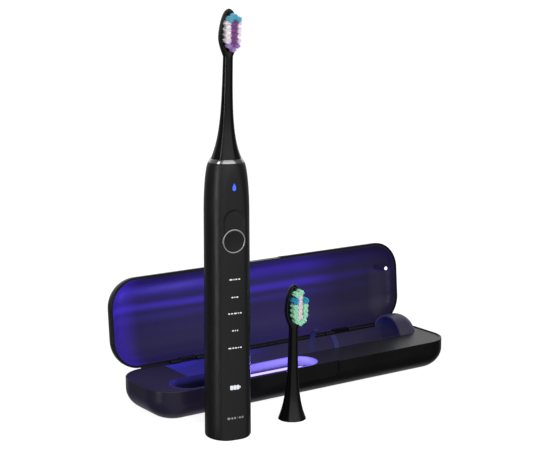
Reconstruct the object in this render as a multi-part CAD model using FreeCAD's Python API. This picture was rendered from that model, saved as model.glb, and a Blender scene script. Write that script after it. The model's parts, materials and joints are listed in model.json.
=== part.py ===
"""Electric toothbrush, spare brush head and the case that charges it and lights it with UV.

Millimetres.  The origin is the centre of the case's foot pad, on the surface it stands on.
+X runs along the case towards its charging end, +Y towards its hinge, +Z up.
The lid stands open, the toothbrush and the spare head stand in front of the case.
"""
import FreeCAD
import Part
import math
import os

V = FreeCAD.Vector
UP = V(0, 0, 1)
ALONG = V(1, 0, 0)
BACK = V(0, 1, 0)

# ---------------------------------------------------------------- fits shared by many pieces
running_gap = 0.05        # radial gap of a shaft or pin that turns
seat_gap = 0.1            # gap round a moulding dropped into another
lid_gap = 0.3             # gap between the closed lid and the base
overshoot = 1.0           # how far a cutting form runs past the face it opens
edge_tolerance = 0.001    # slack when an edge is picked by where it lies
corner_limit = 0.49       # a plan corner's largest share of the width
round_limit = 0.95        # a rounded bottom edge's largest share of the plan corner

# ---------------------------------------------------------------- case, outside
case_length = 230.0
case_width = 58.0
case_corner = 19.0        # plan radius of the corners
rim_height = 21.1         # top of the base's wall above the table
rim_round = 0.4           # rounding of the base's and the lid's outer rim
edge_run = 16.6           # how far in the rounded bottom edge starts
edge_rise = 13.8          # how high the rounded bottom edge ends
case_wall = 1.4
pad_proud = 0.4           # foot pad below the case's underside
pad_length = 150.0
pad_width = 14.0
pad_thickness = 1.0
pad_end_trim = 0.1        # pad's corners below full-round
thumb_half = 17.3         # half width of the thumb recess in the front
thumb_depth = 0.8
thumb_drop = 10.1         # how far it reaches below the rim
thumb_corner = 4.0
status_length = 9.4       # charge status window in the thumb recess
status_height = 1.0
status_drop = 2.6         # top of the window below the rim

# ---------------------------------------------------------------- case, inside
deck_drop = 0.5           # deck below the rim
deck_thickness = 1.4
tray_wall = 1.0
bay_floor_wall = 1.2
bay_gap = 0.2             # handle bay round the handle
bay_end_gap = 1.0         # handle bay beyond the drive shaft's tip
bay_side = 2.6            # handle bay from the case's back face
bay_lift = 1.0            # handle bay above the base's floor
bay_end_inset = 17.0      # the handle's foot rests this far from the case's end
hood_reach = 7.0          # how far the hood reaches over the handle's foot
hood_wall = 1.5
hood_nose = 12.0          # length of the hood's domed end
hood_set = 1.0            # the dome starts this far beyond the bay
hood_overlap = 2.0        # overlap of the two forms that bound the hood
hood_clearance = 0.3      # hood to the closed lid
head_bay_inset = 17.0     # head bay from the case's end
head_bay_length = 105.0
head_bay_front = 4.0      # head bay from the case's front face
bay_rib = 1.6             # between the head bay and the handle bay
head_bay_depth = 11.1
head_bay_fillet = 3.0
uv_window_length = 51.0
uv_window_thickness = 2.7
uv_window_lift = 2.0      # underside of the window above the bay's floor
uv_window_gap = 0.3
uv_board_size = (40.0, 8.0, 0.9)
uv_led_size = (3.5, 3.5, 0.8)
uv_led_count = 4
uv_offset = 2.0           # lamps left of the window's middle
clip_x = 36.0
clip_width = 4.0
clip_wall = 1.3
clip_reach = 50.0         # degrees the clip's arms rise above the handle's middle
coil_radius = 9.0
coil_core_radius = 3.6
coil_thickness = 2.0
coil_plate = 1.5
coil_chamber = 5.3
coil_clearance = 1.2      # round the coil in its chamber
coil_core_gap = 0.4
coil_seat = 0.1           # coil from the chamber's wall
board_length = 60.0
board_offset = 21.0       # board beyond the head bay
board_front = 6.0         # board from the case's front face
board_rib = 2.8           # board from the handle bay's wall
board_z = 9.0
board_thickness = 1.0
chip_count = 4
chip_start = 6.0          # first chip from the board's end
chip_pitch = 14.0
chip_side = 6.0
chip_height = 1.1
case_cell_length = 55.0
case_cell_offset = 18.0   # cell from the head bay's left end
case_cell_front = 15.0    # cell from the case's front face
case_cell_gap = 0.7       # cell to the handle bay's wall
case_cell_z = 2.4
case_cell_thickness = 5.4
case_cell_round = 1.2
port_inset = 25.0         # charging socket from the case's end
port_z = 15.6
port_width = 8.94
port_height = 3.2
port_depth = 7.4
port_wall = 0.3
port_gap = 0.08           # round the socket in the case's wall
port_recess = 0.2         # socket's mouth inside the back face
port_floor = 0.8          # socket's closed end
port_room = 10.0          # half the stretch of wall that the socket may open
port_room_depth = 4.0
port_board_half = 6.5     # the socket's own board
port_board_front = 3.0    # how far that board runs in front of the socket
port_board_back = 2.6     # and how far it stays from the back face
tongue_margin = 1.1
tongue_recess = 1.2
tongue_half = 0.35
screw_offset = 9.0        # first deck screw beyond the head bay
screw_inset = 18.0        # second deck screw from the case's end
screw_rib = 9.8           # both from the handle bay's wall
screw_head_radius = 2.4
screw_radius = 1.2
screw_length = 10.0
screw_boss = 3.2
screw_head_height = 1.6
screw_pillar_wall = 0.8   # wall of the base's pillar outside the deck's post
screw_pillar_start = 0.5
screw_seat_height = 2.0   # face for the screw's head above the foot pad
screw_seat_thickness = 2.0

# ---------------------------------------------------------------- lid and hinge
liner_wall = 0.8
liner_drop = 0.8          # liner's edge below the lid's rim
lid_headroom = 3.8        # liner above the handle in its bay
lid_open_angle = 94.6
hinge_stations = (-62.0, 62.0)
knuckle_radius = 2.3
base_knuckle = 12.0
lid_knuckle = 7.0
knuckle_gap = 0.3
hinge_pin_radius = 0.9
peg_inset = 10.0          # peg from the case's end
peg_from_hinge = 39.0
peg_radius = 1.9
peg_clear = 0.6           # peg's end above the deck when the lid is shut
lid_recess_height = 6.0   # thumb recess in the lid above its rim
sense_magnet_radius = 1.3
sense_magnet_length = 2.0

# ---------------------------------------------------------------- toothbrush handle
brush_x = -86.8
brush_y = -57.5
brush_turn = -10.0        # degrees, from facing -Y
handle_radius = 13.6
handle_top_radius = 13.15
handle_foot_round = 1.6
shoulder_z = 133.0        # where the handle starts to close in
collar_z = 162.1
collar_bottom_radius = 10.1
collar_top_radius = 9.2
collar_height = 2.1
collar_bore = 7.0
facet_depth = 11.56       # front facet from the axis
facet_crown = 80.0        # radius of its slight crown
handle_wall = 1.6
shoulder_steps = (0.0, 0.4, 0.65, 0.82, 0.94, 1.0)
shoulder_bend = 1.9       # powers that shape the shoulder's curve
shoulder_tuck = 0.55
shoulder_start = (-0.012, 1.0)   # (outward, up) directions of the curve's two ends
shoulder_finish = (-0.8, 0.6)
cap_thickness = 2.0
cap_plug = 3.0
cap_plug_wall = 1.6
seal_section = 0.6
seal_height = 1.2
button_z = 117.8
button_radius = 6.02
button_gap = 0.08
bezel_width = 0.9
bezel_proud = 0.35
button_travel = 0.6
button_stem = 1.6
button_set_back = 0.1     # cap's rim below the bezel's
button_dish = 0.25        # depth of the cap's hollow
button_dish_radius = 60.0
flange_margin = 0.5       # flange beyond the cap
flange_thickness = 0.25
flange_gap = 0.1
stem_least = 0.26
switch_half = 2.2
switch_body = 0.4
switch_rise = 0.7         # switch's plunger in front of the board
switch_plunger = 1.4
switch_travel = 0.3
scoop_depth = 0.8
scoop_top_z = 129.2       # centre of the scoop's arched top
scoop_margin = 0.1        # scoop beyond the bezel
mode_lamp_z = (95.8, 85.4, 75.9, 65.75, 55.5)
mode_lamp_width = (7.1, 5.6, 9.1, 5.4, 8.8)
mode_lamp_height = 1.7
battery_lamp_z = 31.9
battery_lamp_width = 7.0
battery_lamp_height = 3.4
power_lamp_z = 149.0
power_lamp_radius = 2.3
lamp_thickness = 0.9
lamp_sink = 0.02          # windows below the facet
battery_led_x = (-2.2, 0.0, 2.2)
guide_half = 3.6          # half the light guide's width
guide_wall_gap = 0.15
guide_lamp_gap = 0.1
board_front_y = -8.2
handle_board = (13.0, 1.0, 25.0, 122.0)   # width, thickness, bottom, top
led_size = (1.6, 0.7, 0.8)
chassis_width = 14.0
chassis_thickness = 1.2
chassis_gap = 0.3
chassis_ribs = (34.0, 60.0, 92.0)
rib_thickness = 2.5
chassis_low_gap = 2.0     # chassis above the receiving coil
chassis_high_gap = 2.0    # and below the board's top
chassis_fit = 0.3         # ribs to the handle's wall
cell_space = 8.0          # cell's pocket beyond its length
cell_radius = 7.0
cell_length = 50.0
cell_z = 38.0
cell_y = 2.8
cell_seat = 0.2
cell_tip_radius = 2.6
cell_tip_height = 1.0
tab_thickness = 0.3
tab_half = 2.0
tab_gap = 0.3             # tabs from the chassis
tab_rise = 1.4            # upper tab above the cell
receiver_inner = 4.2
receiver_outer = 9.0
receiver_height = 3.0
receiver_z = 8.0
ferrite_thickness = 1.2
ferrite_gap = 0.2

# ---------------------------------------------------------------- motor and drive shaft
shaft_radius = 2.0
shaft_bottom_z = 120.5
shaft_round_z = 172.6     # top of the round stretch
shaft_tip_z = 176.2
shaft_tip_radius = 1.5
shaft_tip_flat = 0.9
motor_radius = 8.6
motor_wall = 0.7
motor_z = (124.0, 150.0)
motor_end = 2.0
bearing_radius = 3.6
magnet_radius = 4.6
magnet_z = (129.0, 145.0)
winding_radius = (5.2, 7.6)
winding_z = (128.0, 146.0)
seal_z = (158.0, 163.6)
seal_lip = 1.2

# ---------------------------------------------------------------- brush heads
skirt_gap = 0.1           # skirt above the collar
head_height = 83.7
skirt_radius = 8.8
neck_radius = 2.72
neck_decay = 14.2         # length over which the skirt narrows
neck_end = 57.0
skirt_wall = 1.3
skirt_hollow = 5.0
skirt_straight = 1.0      # hollow at full width
inner_wall = 1.2          # least wall round the hollow
socket_radius = 4.1
socket_floor = 0.6        # insert above the skirt's edge
socket_top = 15.5
socket_tip_gap = 0.3      # above the shaft's round stretch and above its tip
clip_ring_z = 6.0
clip_ring_height = 1.2
clip_ring_depth = 0.7
spring_gap = 0.05
spring_slot = 1.2         # half the gap between the spring's ends
paddle_height = 24.8
paddle_width = 11.0
paddle_thickness = 4.0
paddle_set_back = 2.2     # back of the paddle behind the neck's axis
paddle_round = 1.3
paddle_round_limit = 0.4  # its largest share of the paddle's thickness
neck_heights = (0.0, 3.0, 7.0, 13.0, 21.0, 33.0, 46.0, neck_end)
hollow_heights = (-3.0, 0.0, 3.0, 7.0, 13.0, 21.0)
shoulder_shares = (0.0, 0.35, 0.7, 1.0)   # stations from the neck's end to the paddle
paddle_root = 0.5         # how far the neck's flare starts below its end
paddle_grip = 4.5         # how far below the paddle's middle the flare ends
flare_side = 0.5          # flare inside the paddle's edge
flare_face = 0.15         # and inside its faces
flare_least = 0.01        # by how much every station is wider than deep
brush_lean = 3.8          # degrees the neck leans forward
spare_lean = 1.5
tuft_radius = 1.25
tuft_taper = 0.96         # tip over root
tuft_margin = 1.2         # flat part of the paddle's face below the lowest bristles
tuft_clear_depth = 4.0    # space kept free in front of the paddle, and above it
tuft_clear_rise = 2.0
spare_x = -38.3
spare_y = -54.5
spare_turn = -5.4

# tuft places on the paddle: (across, up from the paddle's middle), and their lengths
blue_tufts = ((-2.7, 8.0), (0.0, 9.6), (2.7, 8.0))
white_tufts = tuple((side * 3.6, 5.1 - 3.1 * row) for side in (-1, 1) for row in range(4))
purple_tufts = tuple((0.0, 6.2 - 3.1 * row) for row in range(5))
lilac_tufts = ((-2.6, -7.4), (0.0, -9.6), (2.6, -7.4))
mint_tufts = (((-2.6, 8.6), (0.3, 9.9)) + tuple((side * 3.7, 1.2 - 3.1 * row) for side in (-1, 1)
              for row in range(3)) + ((-2.4, -8.2), (0.2, -9.6), (2.7, -8.2)))
teal_tufts = ((-3.7, 4.6), (3.7, 4.6))
centre_tufts = tuple((0.0, 6.6 - 3.1 * row) for row in range(5))
tuft_lengths = {"blue": 8.6, "white": 7.0, "purple": 8.2, "lilac": 7.4, "mint": 7.6, "teal": 8.2,
                "centre": 7.0}

# ---------------------------------------------------------------- derived sizes
deck_z = rim_height - deck_drop
case_half = case_width / 2
bay_radius = handle_radius + bay_gap
bay_axis_y = case_half - bay_side - bay_radius
bay_axis_z = pad_proud + case_wall + bay_lift + bay_radius
bay_end_x = case_length / 2 - bay_end_inset
bay_start_x = bay_end_x - shaft_tip_z - bay_end_gap
hood_mouth_x = bay_end_x - hood_reach
lid_depth = (bay_axis_z + bay_radius + lid_headroom + liner_wall + seat_gap + case_wall
             - rim_height - lid_gap)
hinge_y = case_half
hinge_z = rim_height + lid_gap / 2
head_bottom_z = collar_z + collar_height + skirt_gap
head_bay_x0 = -case_length / 2 + head_bay_inset
head_bay_x1 = head_bay_x0 + head_bay_length
head_bay_y0 = -case_half + head_bay_front
head_bay_y1 = bay_axis_y - bay_radius - bay_rib
head_bay_y = (head_bay_y1 + head_bay_y0) / 2
head_bay_floor = deck_z - head_bay_depth
uv_window_x0 = head_bay_x1 - uv_window_length
uv_window_z = head_bay_floor + uv_window_lift
trough_side_y = bay_axis_y - bay_radius - tray_wall
board_x = (head_bay_x1 + board_offset, head_bay_x1 + board_offset + board_length)
board_y = (-case_half + board_front, trough_side_y - board_rib)
case_cell_x = (head_bay_x0 + case_cell_offset, head_bay_x0 + case_cell_offset + case_cell_length)
case_cell_y = (-case_half + case_cell_front,
               bay_axis_y - case_cell_gap
               - math.sqrt((bay_radius + tray_wall) ** 2
                           - (bay_axis_z - case_cell_z - case_cell_thickness) ** 2))
port_x = -case_length / 2 + port_inset
screw_y = trough_side_y - screw_rib
screw_points = ((head_bay_x1 + screw_offset, screw_y), (case_length / 2 - screw_inset, screw_y),
                (port_x, bay_axis_y))
peg_x = case_length / 2 - peg_inset
bezel_radius = button_radius + button_gap + bezel_width
button_face_y = -(facet_depth - scoop_depth)
wall_inside_y = -(facet_depth - handle_wall)
flange_y = wall_inside_y + flange_gap
uv_middle_x = (uv_window_x0 + head_bay_x1) / 2 - uv_offset
screw_seat = pad_proud + screw_seat_height
screw_floor = screw_seat + screw_seat_thickness
peg_y = hinge_y - peg_from_hinge
liner_ceiling = rim_height + lid_gap + lid_depth - case_wall - seat_gap
collar_floor = collar_z - handle_wall
board_back_y = board_front_y + handle_board[1]
switch_face_y = board_front_y - switch_rise
round_bore_top = shaft_round_z - head_bottom_z + socket_tip_gap
wide = 2 * case_length    # larger than the whole case


# ---------------------------------------------------------------- shape helpers
def box(x, y, z):
    """A block from three (low, high) pairs."""
    return Part.makeBox(x[1] - x[0], y[1] - y[0], z[1] - z[0], V(x[0], y[0], z[0]))


def rod(radius, start, length, axis=UP):
    """A plain cylinder."""
    return Part.makeCylinder(radius, length, start, axis)


def ring(outer, inner, start, length, axis=UP):
    """A plain tube."""
    return rod(outer, start, length, axis).cut(rod(inner, start, length, axis))


def face_of(points):
    """A flat face inside a closed outline of straight lines."""
    return Part.Face(Part.makePolygon([*points, points[0]]))


def turned(points):
    """The solid that an outline of (radius, z) points sweeps round Z."""
    outline = face_of([V(r, 0, z) for r, z in points])
    return outline.revolve(V(0, 0, 0), UP, 360)


def rounded_prism(length, width, corner, z):
    """An upright block with rounded corners, centred on the origin."""
    block = box((-length / 2, length / 2), (-width / 2, width / 2), z)
    upright = [edge for edge in block.Edges if edge.BoundBox.ZLength > (z[1] - z[0]) / 2]
    return block.makeFillet(min(corner, corner_limit * width), upright)


def dish(inset, height):
    """The case's outer form, taken in all round by inset, with its mouth up at the given height."""
    corner = case_corner - inset
    run = min(edge_run - inset, round_limit * corner)
    rise = edge_rise - inset
    stretch = rise / run
    prism = rounded_prism(case_length - 2 * inset, case_width - 2 * inset, corner, (0, height / stretch))
    low = [edge for edge in prism.Edges if edge.BoundBox.ZMax < edge_tolerance]
    scale = FreeCAD.Matrix()
    scale.scale(1, 1, stretch)
    return prism.makeFillet(run, low).transformGeometry(scale)


def base_form(inset, top):
    """The dish inside the base at a given inset, from its own floor up to a given height."""
    bottom = pad_proud + inset
    form = dish(inset, top - bottom)
    form.translate(V(0, 0, bottom))
    return form


def lid_form(inset, drop=0.0):
    """The dish inside the shut lid at a given inset, its mouth down."""
    low = rim_height + lid_gap + drop
    high = rim_height + lid_gap + lid_depth - inset
    form = dish(inset, high - low)
    form.rotate(V(0, 0, 0), ALONG, 180)
    form.translate(V(0, 0, high))
    return form


def stadium(x, y, z):
    """An upright block with full-round ends, from three (low, high) pairs."""
    radius = (y[1] - y[0]) / 2
    middle = (y[0] + y[1]) / 2
    core = box((x[0] + radius, x[1] - radius), y, z)
    ends = [rod(radius, V(end, middle, z[0]), z[1] - z[0]) for end in (x[0] + radius, x[1] - radius)]
    return core.multiFuse(ends).removeSplitter()


def front_slot(half_width, z, y, radius):
    """A block cut into a front wall, with rounded lower corners."""
    block = box((-half_width, half_width), y, z)
    corners = [edge for edge in block.Edges
               if edge.BoundBox.YLength > (y[1] - y[0]) / 2 and edge.BoundBox.ZMax < z[0] + edge_tolerance]
    return block.makeFillet(radius, corners)


def along_bay(radius, x0, x1):
    """A cylinder on the handle bay's axis."""
    return rod(radius, V(x0, bay_axis_y, bay_axis_z), x1 - x0, ALONG)


def save(name, shape):
    """Write one named piece."""
    shape.exportStep("parts/" + name + ".step")


def group(shapes):
    """Separate solids that share one name."""
    return Part.makeCompound([solid for shape in shapes for solid in shape.Solids])


# ---------------------------------------------------------------- hinge
def knuckles(radius, spans):
    """Hinge barrels over (start, end) spans measured from each hinge station."""
    return [rod(radius, V(station + start, hinge_y, hinge_z), end - start, ALONG)
            for station in hinge_stations for start, end in spans]


base_spans = ((-base_knuckle / 2, base_knuckle / 2),)
lid_spans = tuple((side * (base_knuckle / 2 + knuckle_gap + lid_knuckle / 2) - lid_knuckle / 2,
                   side * (base_knuckle / 2 + knuckle_gap + lid_knuckle / 2) + lid_knuckle / 2)
                  for side in (-1, 1))
pin_half = base_knuckle / 2 + knuckle_gap + lid_knuckle


def widened(spans):
    """The same spans with the knuckle gap at both ends."""
    return tuple((start - knuckle_gap, end + knuckle_gap) for start, end in spans)


# ---------------------------------------------------------------- case base
def base_shell():
    outer = base_form(0.0, rim_height)
    rim = [edge for edge in outer.Edges if edge.BoundBox.ZMin > rim_height - edge_tolerance]
    shell = outer.makeFillet(rim_round, rim).cut(base_form(case_wall, rim_height + overshoot))
    shell = shell.multiFuse(knuckles(knuckle_radius, base_spans))
    shell = shell.cut(base_form(case_wall, rim_height + knuckle_radius + overshoot))
    for hole in knuckles(knuckle_radius + knuckle_gap, widened(lid_spans)):
        shell = shell.cut(hole)
    for hole in knuckles(hinge_pin_radius, ((-pin_half, pin_half),)):
        shell = shell.cut(hole)
    recess_z = (rim_height - thumb_drop, rim_height + overshoot + thumb_corner)
    recess_y = (-case_half - overshoot, -case_half + thumb_depth)
    shell = shell.cut(front_slot(thumb_half, recess_z, recess_y, thumb_corner))
    shell = shell.cut(status_block())
    port_stretch = box((port_x - port_room, port_x + port_room),
                       (case_half - port_room_depth, case_half + overshoot), (0, rim_height))
    shell = shell.cut(port_form(port_gap).common(port_stretch))
    shell = shell.cut(foot_pad())
    pillar_z = pad_proud + screw_pillar_start
    for x, y in screw_points:
        shell = shell.fuse(rod(screw_boss + screw_pillar_wall, V(x, y, pillar_z), screw_floor - pillar_z))
        shell = shell.cut(rod(screw_head_radius + seat_gap, V(x, y, 0), screw_seat))
        shell = shell.cut(rod(screw_radius + seat_gap, V(x, y, 0), screw_floor + overshoot))
    return shell


def status_block():
    top = rim_height - status_drop
    return box((-status_length / 2, status_length / 2), (-case_half + thumb_depth, -case_half + case_wall),
               (top - status_height, top))


def foot_pad():
    return rounded_prism(pad_length, pad_width, pad_width / 2 - pad_end_trim, (0, pad_thickness))


def port_form(grow):
    """The flat-sided outline of the charging socket, grown all round."""
    half = port_height / 2 + grow
    form = stadium((-port_width / 2 - grow, port_width / 2 + grow), (-half, half), (0, port_depth))
    form.rotate(V(0, 0, 0), ALONG, 90)
    form.translate(V(port_x, case_half - port_recess, port_z))
    return form


def usb_socket():
    inside = port_form(-port_wall)
    inside.translate(V(0, port_floor, 0))
    half = port_width / 2 - tongue_margin
    tongue = box((port_x - half, port_x + half), (case_half - port_depth, case_half - tongue_recess),
                 (port_z - tongue_half, port_z + tongue_half))
    return port_form(0.0).cut(inside).fuse(tongue)


# ---------------------------------------------------------------- deck
def tray_form():
    """Everything the deck moulding may fill."""
    return base_form(case_wall + seat_gap, deck_z)


def handle_bay(grow):
    """The handle bay's void below the hood, grown all round."""
    return along_bay(bay_radius + grow, bay_start_x - grow, bay_end_x + grow)


def head_bay(grow, floor_drop):
    """The brush-head bay's void, grown all round and deeper by floor_drop."""
    form = stadium((head_bay_x0 - grow, head_bay_x1 + grow), (head_bay_y0 - grow, head_bay_y1 + grow),
                   (head_bay_floor - floor_drop, rim_height + head_bay_depth))
    low = [edge for edge in form.Edges if edge.BoundBox.ZMax < head_bay_floor - floor_drop + edge_tolerance]
    return form.makeFillet(head_bay_fillet + grow, low)


def below_deck():
    """Everything under the deck's face."""
    return box((-wide, wide), (-wide, wide), (0, deck_z))


def deck_plate():
    """The flat deck with its screw posts, open over both troughs."""
    plate = box((-wide, wide), (-wide, wide), (deck_z - deck_thickness, deck_z))
    posts = [rod(screw_boss, V(x, y, screw_floor), deck_z - screw_floor) for x, y in screw_points]
    deck = plate.multiFuse(posts).common(tray_form())
    deck = deck.cut(handle_bay(tray_wall))
    deck = deck.cut(head_bay(bay_floor_wall, bay_floor_wall))
    deck = deck.cut(coil_chamber_form())
    deck = deck.cut(clip_ring(clip_x - clip_width / 2, clip_width))
    for hole in knuckles(knuckle_radius + knuckle_gap, widened(lid_spans)):
        deck = deck.cut(hole)
    for x, y in screw_points:
        deck = deck.cut(rod(screw_radius, V(x, y, screw_floor - overshoot), screw_length))
    return deck


def trough_between(x0, x1):
    """The handle bay's half-round wall between two stations."""
    slab = box((x0, x1), (-wide, wide), (0, deck_z))
    wall = handle_bay(tray_wall).common(slab).common(tray_form()).cut(handle_bay(0.0))
    for hole in knuckles(knuckle_radius + knuckle_gap, widened(lid_spans)):
        wall = wall.cut(hole)
    return wall.cut(coil_chamber_form())


def handle_trough():
    return trough_between(bay_start_x - tray_wall, clip_x - clip_width / 2)


def foot_trough():
    return trough_between(clip_x + clip_width / 2, bay_end_x + tray_wall)


def head_trough():
    """The walls and the floor of the bay for a brush head."""
    wall = head_bay(bay_floor_wall, bay_floor_wall).common(below_deck()).common(tray_form())
    return wall.cut(head_bay(0.0, 0.0)).cut(handle_bay(tray_wall))


def clip_ring(x0, width):
    """The full ring that the handle clip is cut from."""
    return along_bay(bay_radius + clip_wall, x0, x0 + width).cut(along_bay(bay_radius, x0, x0 + width))


def handle_clip():
    """A springy cradle, open at the top, that holds the handle in its bay."""
    room = base_form(case_wall + seat_gap, bay_axis_z + 2 * bay_radius)
    clip = clip_ring(clip_x - clip_width / 2, clip_width).common(room)
    reach = 3 * bay_radius
    half_gap = reach * math.cos(math.radians(clip_reach))
    rise = reach * math.sin(math.radians(clip_reach))
    mouth = face_of([V(clip_x - clip_width, bay_axis_y, bay_axis_z),
                     V(clip_x - clip_width, bay_axis_y - half_gap, bay_axis_z + rise),
                     V(clip_x - clip_width, bay_axis_y + half_gap, bay_axis_z + rise)])
    return clip.cut(mouth.extrude(V(2 * clip_width, 0, 0)))


def coil_chamber_form():
    """The space behind the handle bay that the charging coil sits in."""
    start = bay_end_x + hood_wall
    return along_bay(coil_radius + coil_clearance, start, start + coil_chamber)


def charging_hood():
    """The half-round housing over the handle's foot, domed at its end."""
    outer = bay_radius + hood_wall
    dome = Part.makeSphere(outer, V(0, 0, 0))
    stretch = FreeCAD.Matrix()
    stretch.scale(hood_nose / outer, 1, 1)
    dome = dome.transformGeometry(stretch)
    dome.translate(V(bay_end_x + hood_set, bay_axis_y, bay_axis_z))
    hood = along_bay(outer, hood_mouth_x, bay_end_x + hood_set).fuse(dome)
    above = box((hood_mouth_x, wide), (-wide, wide), (deck_z, wide))
    inset = case_wall + seat_gap + liner_wall + hood_clearance
    room = lid_form(inset, -hood_overlap).fuse(base_form(inset, rim_height + hood_overlap))
    hood = hood.common(above).common(room)
    hood = hood.cut(along_bay(bay_radius, hood_mouth_x - overshoot, bay_end_x))
    return hood.cut(coil_chamber_form())


def charge_coil():
    start = V(bay_end_x + hood_wall + coil_seat, bay_axis_y, bay_axis_z)
    return ring(coil_radius, coil_core_radius + coil_core_gap, start, coil_thickness, ALONG)


def coil_core():
    start = bay_end_x + hood_wall + coil_seat
    post = along_bay(coil_core_radius, start, start + coil_thickness)
    return post.fuse(along_bay(coil_radius, start + coil_thickness, start + coil_thickness + coil_plate))


def case_board():
    main = box(board_x, board_y, (board_z, board_z + board_thickness))
    port_top = port_z - port_height / 2
    port = box((port_x - port_board_half, port_x + port_board_half),
               (case_half - port_depth - port_board_front, case_half - port_board_back),
               (port_top - board_thickness, port_top))
    return group([main, port.common(base_form(case_wall + seat_gap, rim_height))])


def board_chips():
    top = board_z + board_thickness
    middle = (board_y[0] + board_y[1]) / 2
    starts = [board_x[0] + chip_start + chip_pitch * i for i in range(chip_count)]
    return group([box((start, start + chip_side), (middle - chip_side / 2, middle + chip_side / 2),
                      (top, top + chip_height)) for start in starts])


def case_battery():
    cell = box(case_cell_x, case_cell_y, (case_cell_z, case_cell_z + case_cell_thickness))
    return cell.makeFillet(case_cell_round, cell.Edges)


def uv_board():
    length, width, thickness = uv_board_size
    return box((uv_middle_x - length / 2, uv_middle_x + length / 2),
               (head_bay_y - width / 2, head_bay_y + width / 2),
               (head_bay_floor, head_bay_floor + thickness))


def uv_leds():
    length, width, thickness = uv_led_size
    pitch = uv_board_size[0] / uv_led_count
    low = head_bay_floor + uv_board_size[2]
    places = [uv_middle_x + pitch * (i - (uv_led_count - 1) / 2) for i in range(uv_led_count)]
    return group([box((x - length / 2, x + length / 2), (head_bay_y - width / 2, head_bay_y + width / 2),
                      (low, low + thickness)) for x in places])


def uv_window():
    """The clear cover over the UV lamps, resting on a step round the bay."""
    form = head_bay(-uv_window_gap, -uv_window_lift)
    keep = box((uv_window_x0, head_bay_x1), (-wide, 0), (uv_window_z, uv_window_z + uv_window_thickness))
    return form.common(keep)


def deck_screws():
    screws = []
    for x, y in screw_points:
        head = rod(screw_head_radius, V(x, y, screw_seat - screw_head_height), screw_head_height)
        screws.append(head.fuse(rod(screw_radius, V(x, y, screw_seat), screw_length - overshoot)))
    return group(screws)


def hinge_pins():
    return group(knuckles(hinge_pin_radius, ((-pin_half, pin_half),)))


# ---------------------------------------------------------------- lid, modelled shut and then opened
def opened(shape):
    """The shut lid's piece turned back to where the open lid rests."""
    shape.rotate(V(0, hinge_y, hinge_z), ALONG, -lid_open_angle)
    return shape


def lid_shell():
    outer = lid_form(0.0)
    rim = [edge for edge in outer.Edges if edge.BoundBox.ZMax < rim_height + lid_gap + edge_tolerance]
    shell = outer.makeFillet(rim_round, rim).multiFuse(knuckles(knuckle_radius, lid_spans))
    shell = shell.cut(lid_form(case_wall, -knuckle_radius - overshoot))
    for hole in knuckles(knuckle_radius + knuckle_gap, widened(base_spans)):
        shell = shell.cut(hole)
    for hole in knuckles(hinge_pin_radius + running_gap, ((-pin_half, pin_half),)):
        shell = shell.cut(hole)
    low = rim_height + lid_gap
    recess = front_slot(thumb_half, (-low - lid_recess_height, -low + overshoot + thumb_corner),
                        (-case_half - overshoot, -case_half + thumb_depth), thumb_corner)
    recess.rotate(V(0, 0, 0), BACK, 180)
    return opened(shell.cut(recess))


def lid_liner():
    inset = case_wall + seat_gap
    liner = lid_form(inset, liner_drop).cut(lid_form(inset + liner_wall, -overshoot))
    peg = rod(peg_radius, V(peg_x, peg_y, deck_z + peg_clear), liner_ceiling - deck_z - peg_clear)
    liner = liner.fuse(peg.common(lid_form(inset, -2 * overshoot)))
    liner = liner.cut(rod(sense_magnet_radius, V(peg_x, peg_y, deck_z), peg_clear + sense_magnet_length))
    for hole in knuckles(knuckle_radius + knuckle_gap, widened(base_spans)):
        liner = liner.cut(hole)
    return opened(liner)


def sense_magnet():
    return opened(rod(sense_magnet_radius, V(peg_x, peg_y, deck_z + peg_clear), sense_magnet_length))


# ---------------------------------------------------------------- toothbrush handle, facing -Y
def shoulder_point(share, inset):
    """A point of the shoulder's curve, at a share of the way up to the collar."""
    drop = handle_top_radius - collar_bottom_radius
    radius = collar_bottom_radius + drop * math.pow(1 - math.pow(share, shoulder_bend), shoulder_tuck)
    return V(radius - inset, 0, shoulder_z + share * (collar_z - shoulder_z))


def handle_form(inset, bottom, top):
    """The handle's round body, taken in by inset, before its facet is cut."""
    curve = Part.BSplineCurve()
    curve.interpolate([shoulder_point(share, inset) for share in shoulder_steps],
                      InitialTangent=V(shoulder_start[0], 0, shoulder_start[1]),
                      FinalTangent=V(shoulder_finish[0], 0, shoulder_finish[1]))
    first = curve.StartPoint
    last = curve.EndPoint
    foot = V(handle_radius - inset, 0, 0)
    edges = [Part.makeLine(V(0, 0, 0), foot), Part.makeLine(foot, first), curve.toShape(),
             Part.makeLine(last, V(0, 0, last.z)), Part.makeLine(V(0, 0, last.z), V(0, 0, 0))]
    solid = Part.Face(Part.Wire(edges)).revolve(V(0, 0, 0), UP, 360)
    reach = 2 * handle_radius
    crown = rod(facet_crown - inset, V(0, facet_crown - facet_depth, -overshoot), collar_z + 2 * overshoot)
    return solid.common(crown).common(box((-reach, reach), (-reach, reach), (bottom, top)))


def scoop_form():
    """The thumb scoop: an upright full-round hollow in the facet, from the button to its arched top."""
    radius = bezel_radius + scoop_margin
    form = stadium((button_z - radius, scoop_top_z + radius), (-radius, radius), (0, facet_depth))
    form.rotate(V(0, 0, 0), BACK, -90)
    form.rotate(V(0, 0, 0), UP, 90)
    form.translate(V(0, -facet_depth + scoop_depth, 0))
    return form


def lamp_block(z, width, height, y0, y1):
    return box((-width / 2, width / 2), (y0, y1), (z - height / 2, z + height / 2))


def lamp_front(piece):
    """Trim a lamp window's front flush with the facet."""
    return piece.common(handle_form(lamp_sink, 0, collar_z))


def mode_lamps():
    blocks = [lamp_block(z, width, mode_lamp_height, -facet_depth - overshoot, -facet_depth + lamp_thickness)
              for z, width in zip(mode_lamp_z, mode_lamp_width)]
    return group([lamp_front(block) for block in blocks])


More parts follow.
